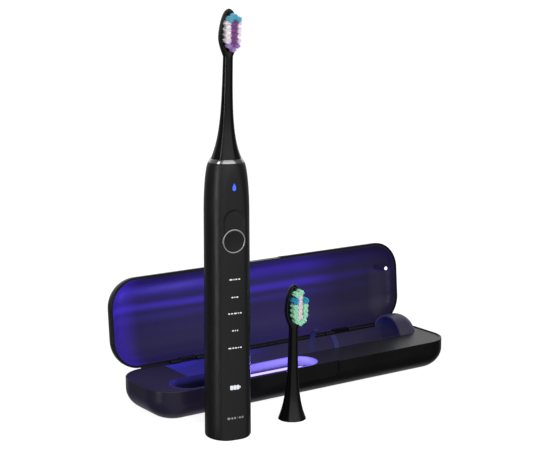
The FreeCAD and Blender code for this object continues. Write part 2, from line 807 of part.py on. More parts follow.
def battery_lamp():
    return lamp_front(lamp_block(battery_lamp_z, battery_lamp_width, battery_lamp_height,
                                 -facet_depth - overshoot, -facet_depth + lamp_thickness))


def power_lamp():
    return lamp_front(rod(power_lamp_radius, V(0, -facet_depth - overshoot, power_lamp_z),
                          overshoot + lamp_thickness, BACK))


def handle_shell():
    body = handle_form(0.0, 0, collar_z)
    foot = [edge for edge in body.Edges if edge.BoundBox.ZMax < edge_tolerance]
    body = body.makeFillet(handle_foot_round, foot)
    body = body.cut(handle_form(handle_wall, -overshoot, collar_floor))
    body = body.cut(rod(collar_bore, V(0, 0, collar_floor - overshoot), handle_wall + 2 * overshoot))
    body = body.cut(scoop_form())
    button_start = V(0, -facet_depth - overshoot, button_z)
    body = body.cut(rod(bezel_radius, button_start, handle_wall + 2 * overshoot, BACK))
    for lamp in mode_lamps().Solids + battery_lamp().Solids + power_lamp().Solids:
        body = body.cut(lamp)
    return body


def cap_plan(gap, z0, z1):
    """The end cap's outline inside the handle's wall."""
    return handle_form(handle_wall + gap, z0, z1)


def handle_end_cap():
    cap = cap_plan(seat_gap, 0, cap_thickness)
    plug_top = cap_thickness + cap_plug
    plug = cap_plan(seat_gap + seal_section, cap_thickness, plug_top)
    return cap.fuse(plug.cut(cap_plan(seat_gap + seal_section + cap_plug_wall, cap_thickness, plug_top)))


def end_cap_seal():
    top = cap_thickness + seal_height
    return cap_plan(seat_gap, cap_thickness, top).cut(cap_plan(seat_gap + seal_section, cap_thickness, top))


def collar_ring():
    top = collar_z + collar_height
    return turned(((collar_bore, collar_z), (collar_bottom_radius, collar_z), (collar_top_radius, top),
                   (collar_bore, top)))


def shaft_seal():
    low, high = seal_z
    sleeve = ring(collar_bore, shaft_radius + running_gap, V(0, 0, collar_floor), high - collar_floor)
    lip = ring(shaft_radius + seal_lip, shaft_radius + running_gap, V(0, 0, low), collar_floor - low)
    return sleeve.fuse(lip)


def motor_housing():
    low, high = motor_z
    can = ring(motor_radius, motor_radius - motor_wall, V(0, 0, low), high - low)
    ends = [ring(motor_radius, bearing_radius, V(0, 0, z), motor_end) for z in (low, high - motor_end)]
    return can.multiFuse(ends)


def shaft_bearings():
    low, high = motor_z
    return group([ring(bearing_radius, shaft_radius + running_gap, V(0, 0, z), motor_end)
                  for z in (low, high - motor_end)])


def motor_windings():
    return ring(winding_radius[1], winding_radius[0], V(0, 0, winding_z[0]), winding_z[1] - winding_z[0])


def inner_chassis():
    """The plate behind the circuit board and the ribs that carry the cell."""
    front = board_back_y + chassis_gap
    low = receiver_z + receiver_height + chassis_low_gap
    high = handle_board[3] - chassis_high_gap
    plate = box((-chassis_width / 2, chassis_width / 2), (front, front + chassis_thickness), (low, high))
    inside = handle_form(handle_wall + chassis_fit, 0, collar_z)
    reach = (-handle_radius, handle_radius)
    ribs = [inside.common(box(reach, (front, handle_radius), (z, z + rib_thickness))) for z in chassis_ribs]
    frame = plate.multiFuse(ribs)
    return frame.cut(rod(cell_radius + seat_gap, V(0, cell_y, cell_z), cell_length + cell_space))


def battery_cell():
    low = cell_z + cell_seat
    body = rod(cell_radius, V(0, cell_y, low), cell_length)
    return body.fuse(rod(cell_tip_radius, V(0, cell_y, low + cell_length), cell_tip_height))


def battery_tabs():
    low = cell_z - tab_thickness
    high = cell_z + cell_length + tab_rise
    front = board_back_y + chassis_gap + chassis_thickness + tab_gap
    return group([box((-tab_half, tab_half), (front, cell_y + tab_half), (z, z + tab_thickness))
                  for z in (low, high)])


def main_board():
    width, thickness, low, high = handle_board
    return box((-width / 2, width / 2), (board_front_y, board_front_y + thickness), (low, high))


def board_leds():
    width, depth, height = led_size
    places = [(0.0, z) for z in mode_lamp_z]
    places += [(x, battery_lamp_z) for x in battery_led_x]
    return group([box((x - width / 2, x + width / 2), (board_front_y - depth, board_front_y),
                      (z - height / 2, z + height / 2)) for x, z in places])


def light_guide():
    """Clear strip between the lamps and their windows, inside the front wall."""
    low = battery_lamp_z - battery_lamp_height
    high = mode_lamp_z[0] + mode_lamp_height
    return box((-guide_half, guide_half),
               (wall_inside_y + guide_wall_gap, board_front_y - led_size[1] - guide_lamp_gap), (low, high))


def button_switch():
    body = box((-switch_half, switch_half), (board_front_y - switch_body, board_front_y),
               (button_z - switch_half, button_z + switch_half))
    return body.fuse(rod(switch_plunger, V(0, switch_face_y, button_z), switch_travel, BACK))


def button_bezel():
    start = V(0, button_face_y - bezel_proud, button_z)
    length = wall_inside_y - start.y
    return ring(bezel_radius, button_radius + button_gap, start, length, BACK)


def power_button():
    """A round cap, a retaining flange behind the wall and a stem to the switch."""
    front = button_face_y - bezel_proud + button_set_back
    cap = rod(button_radius, V(0, front, button_z), flange_y - front, BACK)
    dish_y = front - button_dish_radius + button_dish
    cap = cap.cut(Part.makeSphere(button_dish_radius, V(0, dish_y, button_z)))
    flange = rod(button_radius + flange_margin, V(0, flange_y, button_z), flange_thickness, BACK)
    stem_length = max(switch_face_y - button_travel - flange_y, stem_least)
    stem = rod(button_stem, V(0, flange_y, button_z), stem_length, BACK)
    return cap.multiFuse([flange, stem])


def receiving_coil():
    return ring(receiver_outer, receiver_inner, V(0, 0, receiver_z), receiver_height)


def ferrite_core():
    disc = rod(receiver_outer, V(0, 0, receiver_z + receiver_height), ferrite_thickness)
    return disc.fuse(rod(receiver_inner - ferrite_gap, V(0, 0, receiver_z), receiver_height))


def drive_shaft():
    lower = rod(shaft_radius, V(0, 0, shaft_bottom_z), shaft_round_z - shaft_bottom_z)
    tip = rod(shaft_tip_radius, V(0, 0, shaft_round_z), shaft_tip_z - shaft_round_z)
    flat = box((-shaft_radius, shaft_radius), (shaft_tip_flat, shaft_radius),
               (shaft_round_z, shaft_tip_z + overshoot))
    return lower.fuse(tip.cut(flat))


def motor_magnets():
    return ring(magnet_radius, shaft_radius, V(0, 0, magnet_z[0]), magnet_z[1] - magnet_z[0])


# ---------------------------------------------------------------- brush heads, skirt at z = 0, facing -Y
def lean_at(z, lean):
    """How far forward the neck's centre stands at a height."""
    return -math.tan(math.radians(lean)) * max(z - skirt_hollow, 0)


def neck_section(z, lean, inset=0.0):
    radius = neck_radius + (skirt_radius - neck_radius) * math.exp(-z / neck_decay) - inset
    return Part.Wire(Part.Circle(V(0, lean_at(z, lean), z), UP, radius).toShape())


def paddle_middle(lean):
    """The paddle's middle: across 0, and its place forward and up."""
    z = head_height - paddle_height / 2
    return lean_at(z, lean), z


def leaned(shape, lean):
    """Turn a piece built upright round the paddle's middle to the neck's lean."""
    forward, z = paddle_middle(lean)
    shape.translate(V(0, forward, z))
    shape.rotate(V(0, forward, z), ALONG, lean)
    return shape


def paddle():
    """The oval plate that carries the bristles, upright, its middle at the origin."""
    back = paddle_set_back
    front = back - paddle_thickness
    radius = paddle_width / 2
    plate = stadium((-paddle_height / 2, paddle_height / 2), (-radius, radius), (0, paddle_thickness))
    plate.rotate(V(0, 0, 0), BACK, -90)
    plate.rotate(V(0, 0, 0), UP, 90)
    plate.translate(V(0, front - plate.BoundBox.YMin, 0))
    edges = [edge for edge in plate.Edges if edge.BoundBox.YLength < edge_tolerance]
    return plate.makeFillet(min(paddle_round, paddle_round_limit * paddle_thickness), edges)


def tuft_room():
    """The space in front of the paddle that its bristles stand in, the paddle's middle at the origin."""
    front = paddle_set_back - paddle_thickness
    return box((-paddle_width, paddle_width), (front - tuft_clear_depth, front),
               (-paddle_height / 2 + tuft_margin, paddle_height / 2 + tuft_clear_rise))


def ellipse_wire(across, deep, centre_y, z):
    """A closed ellipse, level, wider across than deep or the other way round."""
    if across >= deep:
        ellipse = Part.Ellipse(V(0, centre_y, z), across, deep)
        return Part.Wire(ellipse.toShape())
    ellipse = Part.Ellipse(V(0, centre_y, z), deep, across)
    wire = Part.Wire(ellipse.toShape())
    wire.rotate(V(0, centre_y, z), UP, 90)
    return wire


def neck_flare(lean):
    """The flat widening between the neck's end and the paddle."""
    low = neck_end - paddle_root
    high = paddle_middle(lean)[1] - paddle_grip
    wide_end = paddle_width / 2 - flare_side
    deep_end = paddle_thickness / 2 - flare_face
    set_back = paddle_set_back - paddle_thickness / 2
    sections = []
    for share in shoulder_shares:
        z = low + (high - low) * share
        across = neck_radius + (wide_end - neck_radius) * math.sin(math.pi / 2 * share)
        deep = neck_radius + (deep_end - neck_radius) * share
        across = max(across, deep + flare_least)
        sections.append(ellipse_wire(across, deep, lean_at(z, lean) + set_back * share, z))
    return Part.makeLoft(sections, True, False)


def inner_neck(lean):
    """The space inside the neck's least wall."""
    return Part.makeLoft([neck_section(z, lean, inner_wall) for z in hollow_heights], True, False)


def head_shell(lean):
    neck = Part.makeLoft([neck_section(z, lean) for z in neck_heights], True, False)
    shell = neck.multiFuse([neck_flare(lean), leaned(paddle(), lean)]).cut(leaned(tuft_room(), lean))
    mouth = skirt_radius - skirt_wall
    hollow = turned(((0, -overshoot), (mouth, -overshoot), (mouth, skirt_straight),
                     (socket_radius, skirt_hollow), (socket_radius, socket_top), (0, socket_top)))
    return shell.cut(hollow.common(inner_neck(lean)))


def head_socket(lean):
    """The insert that grips the drive shaft: a round bore, then a flatted one."""
    body = rod(socket_radius, V(0, 0, socket_floor), socket_top - socket_floor).common(inner_neck(lean))
    body = body.cut(rod(shaft_radius + running_gap, V(0, 0, 0), round_bore_top))
    tip = rod(shaft_tip_radius + running_gap, V(0, 0, round_bore_top),
              shaft_tip_z - shaft_round_z + socket_tip_gap)
    tip = tip.cut(box((-socket_radius, socket_radius), (shaft_tip_flat + running_gap, socket_radius),
                      (0, head_height)))
    return body.cut(tip).cut(clip_band())


def clip_band():
    """The band of the insert that the retaining spring takes up."""
    return ring(socket_radius + overshoot, socket_radius - clip_ring_depth, V(0, 0, clip_ring_z),
                clip_ring_height)


def retaining_spring():
    spring = ring(socket_radius - spring_gap, socket_radius - clip_ring_depth, V(0, 0, clip_ring_z),
                  clip_ring_height)
    return spring.cut(box((-spring_slot, spring_slot), (-skirt_radius, 0), (0, head_height)))


def tufts(places, length, lean):
    """Bundles of bristle standing on the paddle's face."""
    front = paddle_set_back - paddle_thickness
    solids = []
    for across, up in places:
        bundle = Part.makeCone(tuft_radius, tuft_radius * tuft_taper, length, V(across, front, up), -BACK)
        solids.append(leaned(bundle, lean))
    return group(solids)


# ---------------------------------------------------------------- placing and writing
def on_brush(shape, lift=0.0):
    """Move a piece from the brush's own axis to where the toothbrush stands."""
    shape.rotate(V(0, 0, 0), UP, brush_turn)
    shape.translate(V(brush_x, brush_y, lift))
    return shape


def on_spare(shape):
    shape.rotate(V(0, 0, 0), UP, spare_turn)
    shape.translate(V(spare_x, spare_y, 0))
    return shape


def write_case():
    save("base_shell", base_shell())
    save("foot_pad", foot_pad())
    save("status_window", status_block())
    save("usb_c_socket", usb_socket())
    save("deck_plate", deck_plate())
    save("handle_trough", handle_trough())
    save("foot_trough", foot_trough())
    save("head_trough", head_trough())
    save("charging_hood", charging_hood())
    save("handle_clip", handle_clip())
    save("charge_coil", charge_coil())
    save("coil_core", coil_core())
    save("case_board", case_board())
    save("board_chips", board_chips())
    save("case_battery", case_battery())
    save("uv_board", uv_board())
    save("uv_leds", uv_leds())
    save("uv_window", uv_window())
    save("deck_screws", deck_screws())
    save("hinge_pins", hinge_pins())
    save("lid_shell", lid_shell())
    save("lid_liner", lid_liner())
    save("lid_sense_magnet", sense_magnet())


def write_handle():
    save("handle_shell", on_brush(handle_shell()))
    save("handle_end_cap", on_brush(handle_end_cap()))
    save("end_cap_seal", on_brush(end_cap_seal()))
    save("collar_ring", on_brush(collar_ring()))
    save("shaft_seal", on_brush(shaft_seal()))
    save("motor_housing", on_brush(motor_housing()))
    save("motor_windings", on_brush(motor_windings()))
    save("shaft_bearings", on_brush(shaft_bearings()))
    save("inner_chassis", on_brush(inner_chassis()))
    save("battery_cell", on_brush(battery_cell()))
    save("battery_tabs", on_brush(battery_tabs()))
    save("main_board", on_brush(main_board()))
    save("button_switch", on_brush(button_switch()))
    save("board_leds", on_brush(board_leds()))
    save("light_guide", on_brush(light_guide()))
    save("mode_lamp_windows", on_brush(mode_lamps()))
    save("battery_lamp_window", on_brush(battery_lamp()))
    save("power_lamp_window", on_brush(power_lamp()))
    save("button_bezel", on_brush(button_bezel()))
    save("receiving_coil", on_brush(receiving_coil()))
    save("ferrite_core", on_brush(ferrite_core()))
    save("power_button", on_brush(power_button()))
    save("drive_shaft", on_brush(drive_shaft()))
    save("motor_magnets", on_brush(motor_magnets()))


def write_heads():
    brush_tufts = {"tufts_blue": ("blue", blue_tufts), "tufts_white": ("white", white_tufts),
                   "tufts_purple": ("purple", purple_tufts), "tufts_lilac": ("lilac", lilac_tufts)}
    save("head_shell", on_brush(head_shell(brush_lean), head_bottom_z))
    save("head_socket", on_brush(head_socket(brush_lean), head_bottom_z))
    save("retaining_spring", on_brush(retaining_spring(), head_bottom_z))
    for name, (kind, places) in brush_tufts.items():
        save(name, on_brush(tufts(places, tuft_lengths[kind], brush_lean), head_bottom_z))
    spare_tufts = {"spare_tufts_mint": ("mint", mint_tufts), "spare_tufts_teal": ("teal", teal_tufts),
                   "spare_tufts_white": ("centre", centre_tufts)}
    save("spare_head_shell", on_spare(head_shell(spare_lean)))
    save("spare_head_socket", on_spare(head_socket(spare_lean)))
    save("spare_retaining_spring", on_spare(retaining_spring()))
    for name, (kind, places) in spare_tufts.items():
        save(name, on_spare(tufts(places, tuft_lengths[kind], spare_lean)))


os.makedirs("parts", exist_ok=True)
write_case()
write_handle()
write_heads()
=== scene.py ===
"""Looks of an electric toothbrush in front of its open charging case, with a spare brush head.

Lengths inside the classes are millimetres and become metres where a mesh or a light is made.
+X runs along the case towards its charging end, +Y towards its hinge, +Z up.
"""
import json
import logging
import math
import random
from dataclasses import dataclass
from enum import Enum

import bpy
from mathutils import Matrix, Vector

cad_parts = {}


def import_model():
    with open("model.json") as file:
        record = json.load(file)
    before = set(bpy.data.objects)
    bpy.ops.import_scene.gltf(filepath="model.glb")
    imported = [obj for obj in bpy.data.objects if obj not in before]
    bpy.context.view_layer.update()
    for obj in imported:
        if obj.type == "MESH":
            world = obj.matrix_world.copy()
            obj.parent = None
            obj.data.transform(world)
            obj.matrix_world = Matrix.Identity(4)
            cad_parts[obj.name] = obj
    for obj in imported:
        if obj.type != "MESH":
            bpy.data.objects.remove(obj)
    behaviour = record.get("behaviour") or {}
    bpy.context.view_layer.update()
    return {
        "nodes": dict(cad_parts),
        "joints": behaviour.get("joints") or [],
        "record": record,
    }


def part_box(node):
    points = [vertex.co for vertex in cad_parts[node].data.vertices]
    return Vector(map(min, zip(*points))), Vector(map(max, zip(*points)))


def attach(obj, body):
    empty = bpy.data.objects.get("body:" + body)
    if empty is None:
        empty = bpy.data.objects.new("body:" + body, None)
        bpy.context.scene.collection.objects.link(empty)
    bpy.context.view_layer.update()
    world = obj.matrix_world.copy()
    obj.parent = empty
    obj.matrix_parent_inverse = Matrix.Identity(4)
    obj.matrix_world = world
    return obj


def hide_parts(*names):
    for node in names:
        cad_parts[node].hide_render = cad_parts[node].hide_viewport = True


LOG = logging.getLogger("toothbrush")
MM = 0.001
UP = Vector((0.0, 0.0, 1.0))
Place = tuple[float, float, float]
Ring = list[Place]
Mesh = tuple[list, list]                  # points and faces
Stops = tuple[tuple[float, str], ...]     # places from 0 to 1 and their colours


# ---------------------------------------------------------------- shading
class Shader(Enum):
    """The kinds of shading node that the finishes use."""

    OUTPUT = "ShaderNodeOutputMaterial"
    PLASTIC = "ShaderNodeBsdfPrincipled"
    PLACE = "ShaderNodeTexCoord"
    STRETCH = "ShaderNodeMapping"
    NOISE = "ShaderNodeTexNoise"
    RAMP = "ShaderNodeValToRGB"
    RANGE = "ShaderNodeMapRange"
    BUMP = "ShaderNodeBump"
    SPLIT = "ShaderNodeSeparateXYZ"
    MATHS = "ShaderNodeMath"
    MIX = "ShaderNodeMix"
    SKY = "ShaderNodeBackground"
    WORLD = "ShaderNodeOutputWorld"


def linear(code: str) -> tuple[float, float, float, float]:
    """Turn an sRGB hex colour into linear light, by the sRGB standard's own curve.

    Args:
        code: six hex digits with a leading hash.

    Returns:
        Red, green, blue and an alpha of 1.
    """
    parts = [int(code[i:i + 2], 16) / 255 for i in (1, 3, 5)]
    light = [part / 12.92 if part <= 0.04045 else ((part + 0.055) / 1.055) ** 2.4 for part in parts]
    return (light[0], light[1], light[2], 1.0)


def add_node(tree: bpy.types.NodeTree, kind: Shader, inputs: dict | None = None,
             links: dict | None = None, **settings: object) -> bpy.types.Node:
    """Add one node, with its values and what feeds it.

    Args:
        tree: the node tree that gets the node.
        kind: which node.
        inputs: values for its sockets, by name or number.
        links: sockets of other nodes that feed its sockets, by name or number.
        settings: the node's own properties.

    Returns:
        The new node.
    """
    node = tree.nodes.new(kind.value)
    for name, value in settings.items():
        setattr(node, name, value)
    for socket, value in (inputs or {}).items():
        node.inputs[socket].default_value = value
    for socket, source in (links or {}).items():
        tree.links.new(source, node.inputs[socket])
    return node


def colours_along(tree: bpy.types.NodeTree, source: bpy.types.NodeSocket,
                  span: tuple[float, float], stops: Stops) -> bpy.types.NodeSocket:
    """Colours that follow a value and ease from one stop to the next.

    Args:
        tree: the node tree.
        source: the value.
        span: the values at the first and the last stop.
        stops: (place, hex colour) pairs in order.

    Returns:
        The socket that gives the colour.
    """
    share = add_node(tree, Shader.RANGE, {"From Min": span[0], "From Max": span[1]},
                     {"Value": source})
    node = add_node(tree, Shader.RAMP, links={"Fac": share.outputs["Result"]})
    ramp = node.color_ramp
    ramp.interpolation = "EASE"
    while len(ramp.elements) < len(stops):
        ramp.elements.new(1.0)
    for element, (place, code) in zip(ramp.elements, stops):
        element.position = place
        element.color = linear(code)
    return node.outputs["Color"]


@dataclass(frozen=True)
class Finish:
    """A real material and how its surface was made, as one Principled shader.

    grain is the spacing in millimetres of the fine texture left by the mould, and grain_lift its
    height. smears is the size in millimetres of the faint patches that handling leaves in the
    gloss.
    """

    name: str
    colour: str
    roughness: float
    metallic: float = 0.0
    ior: float = 1.5
    coat: float = 0.0
    coat_roughness: float = 0.1
    see_through: float = 0.0
    scatter: float = 0.0
    glow: str = "#000000"
    glow_strength: float = 0.0
    grain: float = 0.0
    grain_lift: float = 0.0
    smears: float = 0.0
    smear_span: float = 0.05

    def make(self) -> bpy.types.Material:
        """Make the Blender material, once for each finish."""
        found = bpy.data.materials.get(self.name)
        if found:
            return found
        material = bpy.data.materials.new(self.name)
        material.use_nodes = True
        tree = material.node_tree
        tree.nodes.clear()
        body = add_node(tree, Shader.PLASTIC, self.sockets())
        add_node(tree, Shader.OUTPUT, links={"Surface": body.outputs["BSDF"]})
        self.wear(tree, body)
        self.dress(tree, body)
        return material

    def sockets(self) -> dict:
        """The values of the shader's own sockets."""
        values = {"Base Color": linear(self.colour), "Roughness": self.roughness,
                  "Metallic": self.metallic, "Coat Weight": self.coat,
                  "Coat Roughness": self.coat_roughness, "Transmission Weight": self.see_through,
                  "Subsurface Weight": self.scatter, "Emission Color": linear(self.glow),
                  "Emission Strength": self.glow_strength}
        if not self.metallic:
            values["IOR"] = self.ior
        if self.scatter:
            values["Subsurface Radius"] = (1.0, 1.0, 1.0)
            values["Subsurface Scale"] = MM
        return values

    def wear(self, tree: bpy.types.NodeTree, body: bpy.types.Node) -> None:
        """Add the mould's grain and the smears in the gloss.

        Args:
            tree: the material's node tree.
            body: its shader.
        """
        if not (self.grain or self.smears):
            return
        place = add_node(tree, Shader.PLACE).outputs["Object"]
        if self.grain:
            noise = add_node(tree, Shader.NOISE, {"Scale": 1 / (self.grain * MM), "Detail": 2.0},
                             {"Vector": place})
            bump = add_node(tree, Shader.BUMP, {"Strength": 1.0, "Distance": self.grain_lift * MM},
                            {"Height": noise.outputs["Fac"]})
            tree.links.new(bump.outputs["Normal"], body.inputs["Normal"])
        if self.smears:
            noise = add_node(tree, Shader.NOISE, {"Scale": 1 / (self.smears * MM), "Detail": 3.0},
                             {"Vector": place})
            # Most of the noise lies between 0.35 and 0.65.
            patch = add_node(tree, Shader.RANGE, {"From Min": 0.35, "From Max": 0.65,
                                                  "To Min": self.roughness - self.smear_span,
                                                  "To Max": self.roughness + self.smear_span},
                             {"Value": noise.outputs["Fac"]})
            tree.links.new(patch.outputs["Result"], body.inputs["Roughness"])

    def dress(self, tree: bpy.types.NodeTree, body: bpy.types.Node) -> None:
        """Add what only one kind of finish has. A plain one has nothing more."""


@dataclass(frozen=True)
class PaintedUvGlow(Finish):
    """A plastic with violet light from the case's lamps painted into its emission, in soft bands
    along the moulding.

    The bands lie between low and high: heights, or distances from the line along X through around
    when that is given. left and right are the ends of the fade along the case, and end_glow is
    added to the bands. sway is how far the bands wander, and wander the length of one swing along
    X, Y and Z. All are millimetres in the shared frame.
    """

    low: float = 20.0
    high: float = 78.0
    around: tuple[float, float] | None = None
    left: float = -115.0
    right: float = 115.0
    bands: Stops = ((0.0, "#ffffff"), (1.0, "#ffffff"))
    fade: Stops = ((0.0, "#ffffff"), (1.0, "#000000"))
    end_glow: Stops = ((0.0, "#000000"), (1.0, "#000000"))
    sway: float = 0.0
    wander: Place = (110.0, 50.0, 28.0)
    glow_strength: float = 1.0

    def dress(self, tree: bpy.types.NodeTree, body: bpy.types.Node) -> None:
        """Paint the bands of violet light into the emission over the moulding.

        Args:
            tree: the material's node tree.
            body: its shader.
        """
        place = add_node(tree, Shader.PLACE).outputs["Object"]
        split = add_node(tree, Shader.SPLIT, links={"Vector": place})
        across = self.distance(tree, split) if self.around else self.height(tree, split, place)
        ends = (self.left * MM, self.right * MM)
        bands = colours_along(tree, across, (self.low * MM, self.high * MM), self.bands)
        fade = colours_along(tree, split.outputs["X"], ends, self.fade)
        glow = colours_along(tree, split.outputs["X"], ends, self.end_glow)
        lit = add_node(tree, Shader.MIX, {0: 1.0}, {6: bands, 7: fade},
                       data_type="RGBA", blend_type="MULTIPLY")
        both = add_node(tree, Shader.MIX, {0: 1.0}, {6: lit.outputs[2], 7: glow},
                        data_type="RGBA", blend_type="ADD")
        tree.links.new(both.outputs[2], body.inputs["Emission Color"])

    def height(self, tree: bpy.types.NodeTree, split: bpy.types.Node,
               place: bpy.types.NodeSocket) -> bpy.types.NodeSocket:
        """The height that the bands follow, wandering a little along the moulding.

        Args:
            tree: the material's node tree.
            split: the point's X, Y and Z.
            place: the point.

        Returns:
            The socket that gives the height.
        """
        stretch = add_node(tree, Shader.STRETCH, {"Scale": [1 / (c * MM) for c in self.wander]},
                           {"Vector": place})
        noise = add_node(tree, Shader.NOISE, {"Scale": 1.0, "Detail": 1.0},
                         {"Vector": stretch.outputs["Vector"]})
        shift = add_node(tree, Shader.MATHS, {1: self.sway * MM, 2: -self.sway * MM / 2},
                         {0: noise.outputs["Fac"]}, operation="MULTIPLY_ADD")
        swayed = add_node(tree, Shader.MATHS, operation="ADD",
                          links={0: split.outputs["Z"], 1: shift.outputs["Value"]})
        return swayed.outputs["Value"]

    def distance(self, tree: bpy.types.NodeTree, split: bpy.types.Node) -> bpy.types.NodeSocket:
        """The distance from the line along X that the bands lie around.

        Args:
            tree: the material's node tree.
            split: the point's X, Y and Z.

        Returns:
            The socket that gives the distance.
        """
        squares = []
        for axis, middle in zip("YZ", self.around):
            away = add_node(tree, Shader.MATHS, {1: middle * MM}, {0: split.outputs[axis]},
                            operation="SUBTRACT").outputs["Value"]
            squares.append(add_node(tree, Shader.MATHS, links={0: away, 1: away},
                                    operation="MULTIPLY").outputs["Value"])
        total = add_node(tree, Shader.MATHS, links={0: squares[0], 1: squares[1]}, operation="ADD")
        return add_node(tree, Shader.MATHS, {1: 0.5}, {0: total.outputs["Value"]},
                        operation="POWER").outputs["Value"]


# ABS moulded in a spark-eroded mould: a soft satin black whose highlights are wide and dim.
SATIN_HANDLE = Finish("abs_moulded_satin_black", "#101011", 0.36, ior=1.54, grain=0.5,
                      grain_lift=0.003, smears=14.0, smear_span=0.04)
# The same ABS from a finer mould, a little shinier. Violet light from the lamps is painted into its
# emission at its left end.
CASE_BLACK = PaintedUvGlow("abs_moulded_case_black", "#050506", 0.30, ior=1.52, grain=0.6,
                      grain_lift=0.002, smears=22.0,
                      fade=((0.0, "#1b1629"), (0.14, "#151021"), (0.26, "#050408"),
                            (0.45, "#000000")))
# The lid's outside, away from the lamps.
LID_BLACK = Finish("abs_moulded_lid_black", "#0a0a0c", 0.30, ior=1.54, grain=0.6, grain_lift=0.002,
                   smears=22.0)
# ABS with a fine etched texture: near-black, it mirrors the lid softly at a low angle. Violet light
# is painted into its emission, strongest at its left end and gone past the middle.
DECK_GREY = PaintedUvGlow("abs_etched_deck_grey", "#131315", 0.36, ior=1.52, grain=0.5, grain_lift=0.004,
                     fade=((0.0, "#1d1632"), (0.35, "#150f2a"), (0.6, "#060509"),
                           (0.75, "#000000")))
# The same ABS inside the handle's bay, with violet light painted into its emission, strongest at
# the bay's left end.
BAY_GREY = PaintedUvGlow("abs_etched_bay_grey", "#15151a", 0.42, ior=1.5, left=-80.0, right=98.0,
                    fade=((0.0, "#27227e"), (0.2, "#211c70"), (0.34, "#1f1a44"), (0.62, "#201a3a"),
                          (0.86, "#1d1834"), (1.0, "#14122e")))
# The hood, with light painted into its emission: deep blue inside and dim grey-purple outside.
HOOD_GREY = PaintedUvGlow("abs_etched_hood_grey", "#1d1d20", 0.38, ior=1.5, low=13.0, high=16.0,
                     around=(12.6, 16.6),
                     bands=((0.0, "#0b0c36"), (0.36, "#0c0d3a"), (0.46, "#2b2742"),
                            (1.0, "#1e1a2c")),
                     fade=((0.0, "#ffffff"), (1.0, "#ffffff")))
# The springy clip, with deep blue light painted evenly into its emission.
CLIP_GREY = PaintedUvGlow("abs_moulded_clip_grey", "#202030", 0.24, ior=1.5,
                     fade=((0.0, "#0d0c42"), (1.0, "#0d0c42")))
# The head's bay: dark inside, with blue-violet light painted into its emission, faint low down and
# strong along the edge where the moulding turns to the deck.
HEAD_BAY_GREY = PaintedUvGlow("abs_etched_head_bay", "#121216", 0.4, ior=1.5, low=9.0, high=20.6,
                         left=-98.0, right=7.0,
                         bands=((0.0, "#202028"), (0.55, "#404050"), (0.9, "#ffffff"),
                                (1.0, "#ffffff")),
                         fade=((0.0, "#241e70"), (0.12, "#1c175c"), (0.4, "#19154a"),
                               (1.0, "#7a70f0")))
# Polycarbonate blend moulded against polished steel: deep glossy black with crisp streaks.
HEAD_GLOSS = Finish("polycarbonate_polished_head_black", "#060607", 0.18, ior=1.5, coat=0.1,
                    coat_roughness=0.08, smears=9.0, smear_span=0.03)
# The button's cap has a finer satin than the handle, so it reads as a separate piece.
BUTTON_BLACK = Finish("abs_moulded_button_black", "#0c0c0d", 0.26, ior=1.54, grain=0.4,
                      grain_lift=0.003)
# Chrome plated on ABS: a bright mirror that picks up the soft boxes.
CHROME = Finish("abs_chrome_plated", "#eeeef0", 0.16, metallic=1.0)
# Stainless steel, turned: duller and greyer than the chrome.
STEEL = Finish("stainless_steel_turned", "#b4b4b8", 0.24, metallic=1.0)
# Silicone and TPE, moulded: matt, soft black with no clear highlight.
RUBBER = Finish("silicone_moulded_black", "#161616", 0.68, ior=1.42)
# Smoked acrylic over a lamp that is off: black glass look.
SMOKED = Finish("acrylic_smoked", "#0a0a0c", 0.12, ior=1.49)
# Marks let into the facet and lit from behind: even white light.
LIT_WHITE = Finish("acrylic_lit_white", "#8e9094", 0.4, glow="#eef1f5", glow_strength=0.42)
# The same with a blue lamp.
LIT_BLUE = Finish("acrylic_lit_blue", "#2f48d0", 0.4, glow="#3457ee", glow_strength=0.8)
# A thin printed mark: light grey ink that isn't lit.
PRINTED_GREY = Finish("ink_pad_printed_grey", "#6e6e72", 0.5)
# Clear acrylic over the ultraviolet lamps: lavender light with a pale core.
UV_LIT = Finish("acrylic_uv_lit", "#b9a8ff", 0.25, ior=1.49, glow="#a294ff", glow_strength=1.6)
# Yellowish phosphor over a lamp chip: pale and matt.
LED_WHITE = Finish("led_phosphor_face", "#e8e4c8", 0.5)
# Inside pieces. Glass fibre board under green lacquer: an even dark green with a dull shine.
CIRCUIT = Finish("fibreglass_board_green", "#1d4a2c", 0.45)
# Epoxy moulded round a chip: matt black.
CHIP = Finish("epoxy_chip_black", "#151517", 0.5)
# Enamelled copper wire, wound: warm orange with soft highlights.
COPPER = Finish("copper_wound", "#b8734a", 0.32, metallic=1.0)
# Ferrite, pressed and fired: dark grey like slate.
FERRITE = Finish("ferrite_sintered", "#2b2b2e", 0.7)
# Shrunk plastic wrap on a cell: blue with a low shine.
CELL = Finish("cell_wrap_blue", "#274a86", 0.4)
# Unpigmented nylon, moulded: creamy, and light goes a little way in.
NYLON = Finish("nylon_moulded_natural", "#d9d4c6", 0.48, scatter=0.2)
# Clear acrylic, moulded: a pale see-through block.
GUIDE = Finish("acrylic_clear_guide", "#dfe4e8", 0.2, ior=1.49, see_through=0.6)
# Nylon cap of the lid's peg: a small white dot, with violet light painted into its emission.
PEG_WHITE = Finish("nylon_peg_white", "#e6e4ee", 0.35, glow="#cfc6ff", glow_strength=0.4)


def nylon(name: str, colour: str, roughness: float = 0.36, scatter: float = 0.12) -> Finish:
    """Nylon bristles, drawn and end-rounded: a soft shine, and a little light passes into them."""
    return Finish("nylon_bristle_" + name, colour, roughness, scatter=scatter)


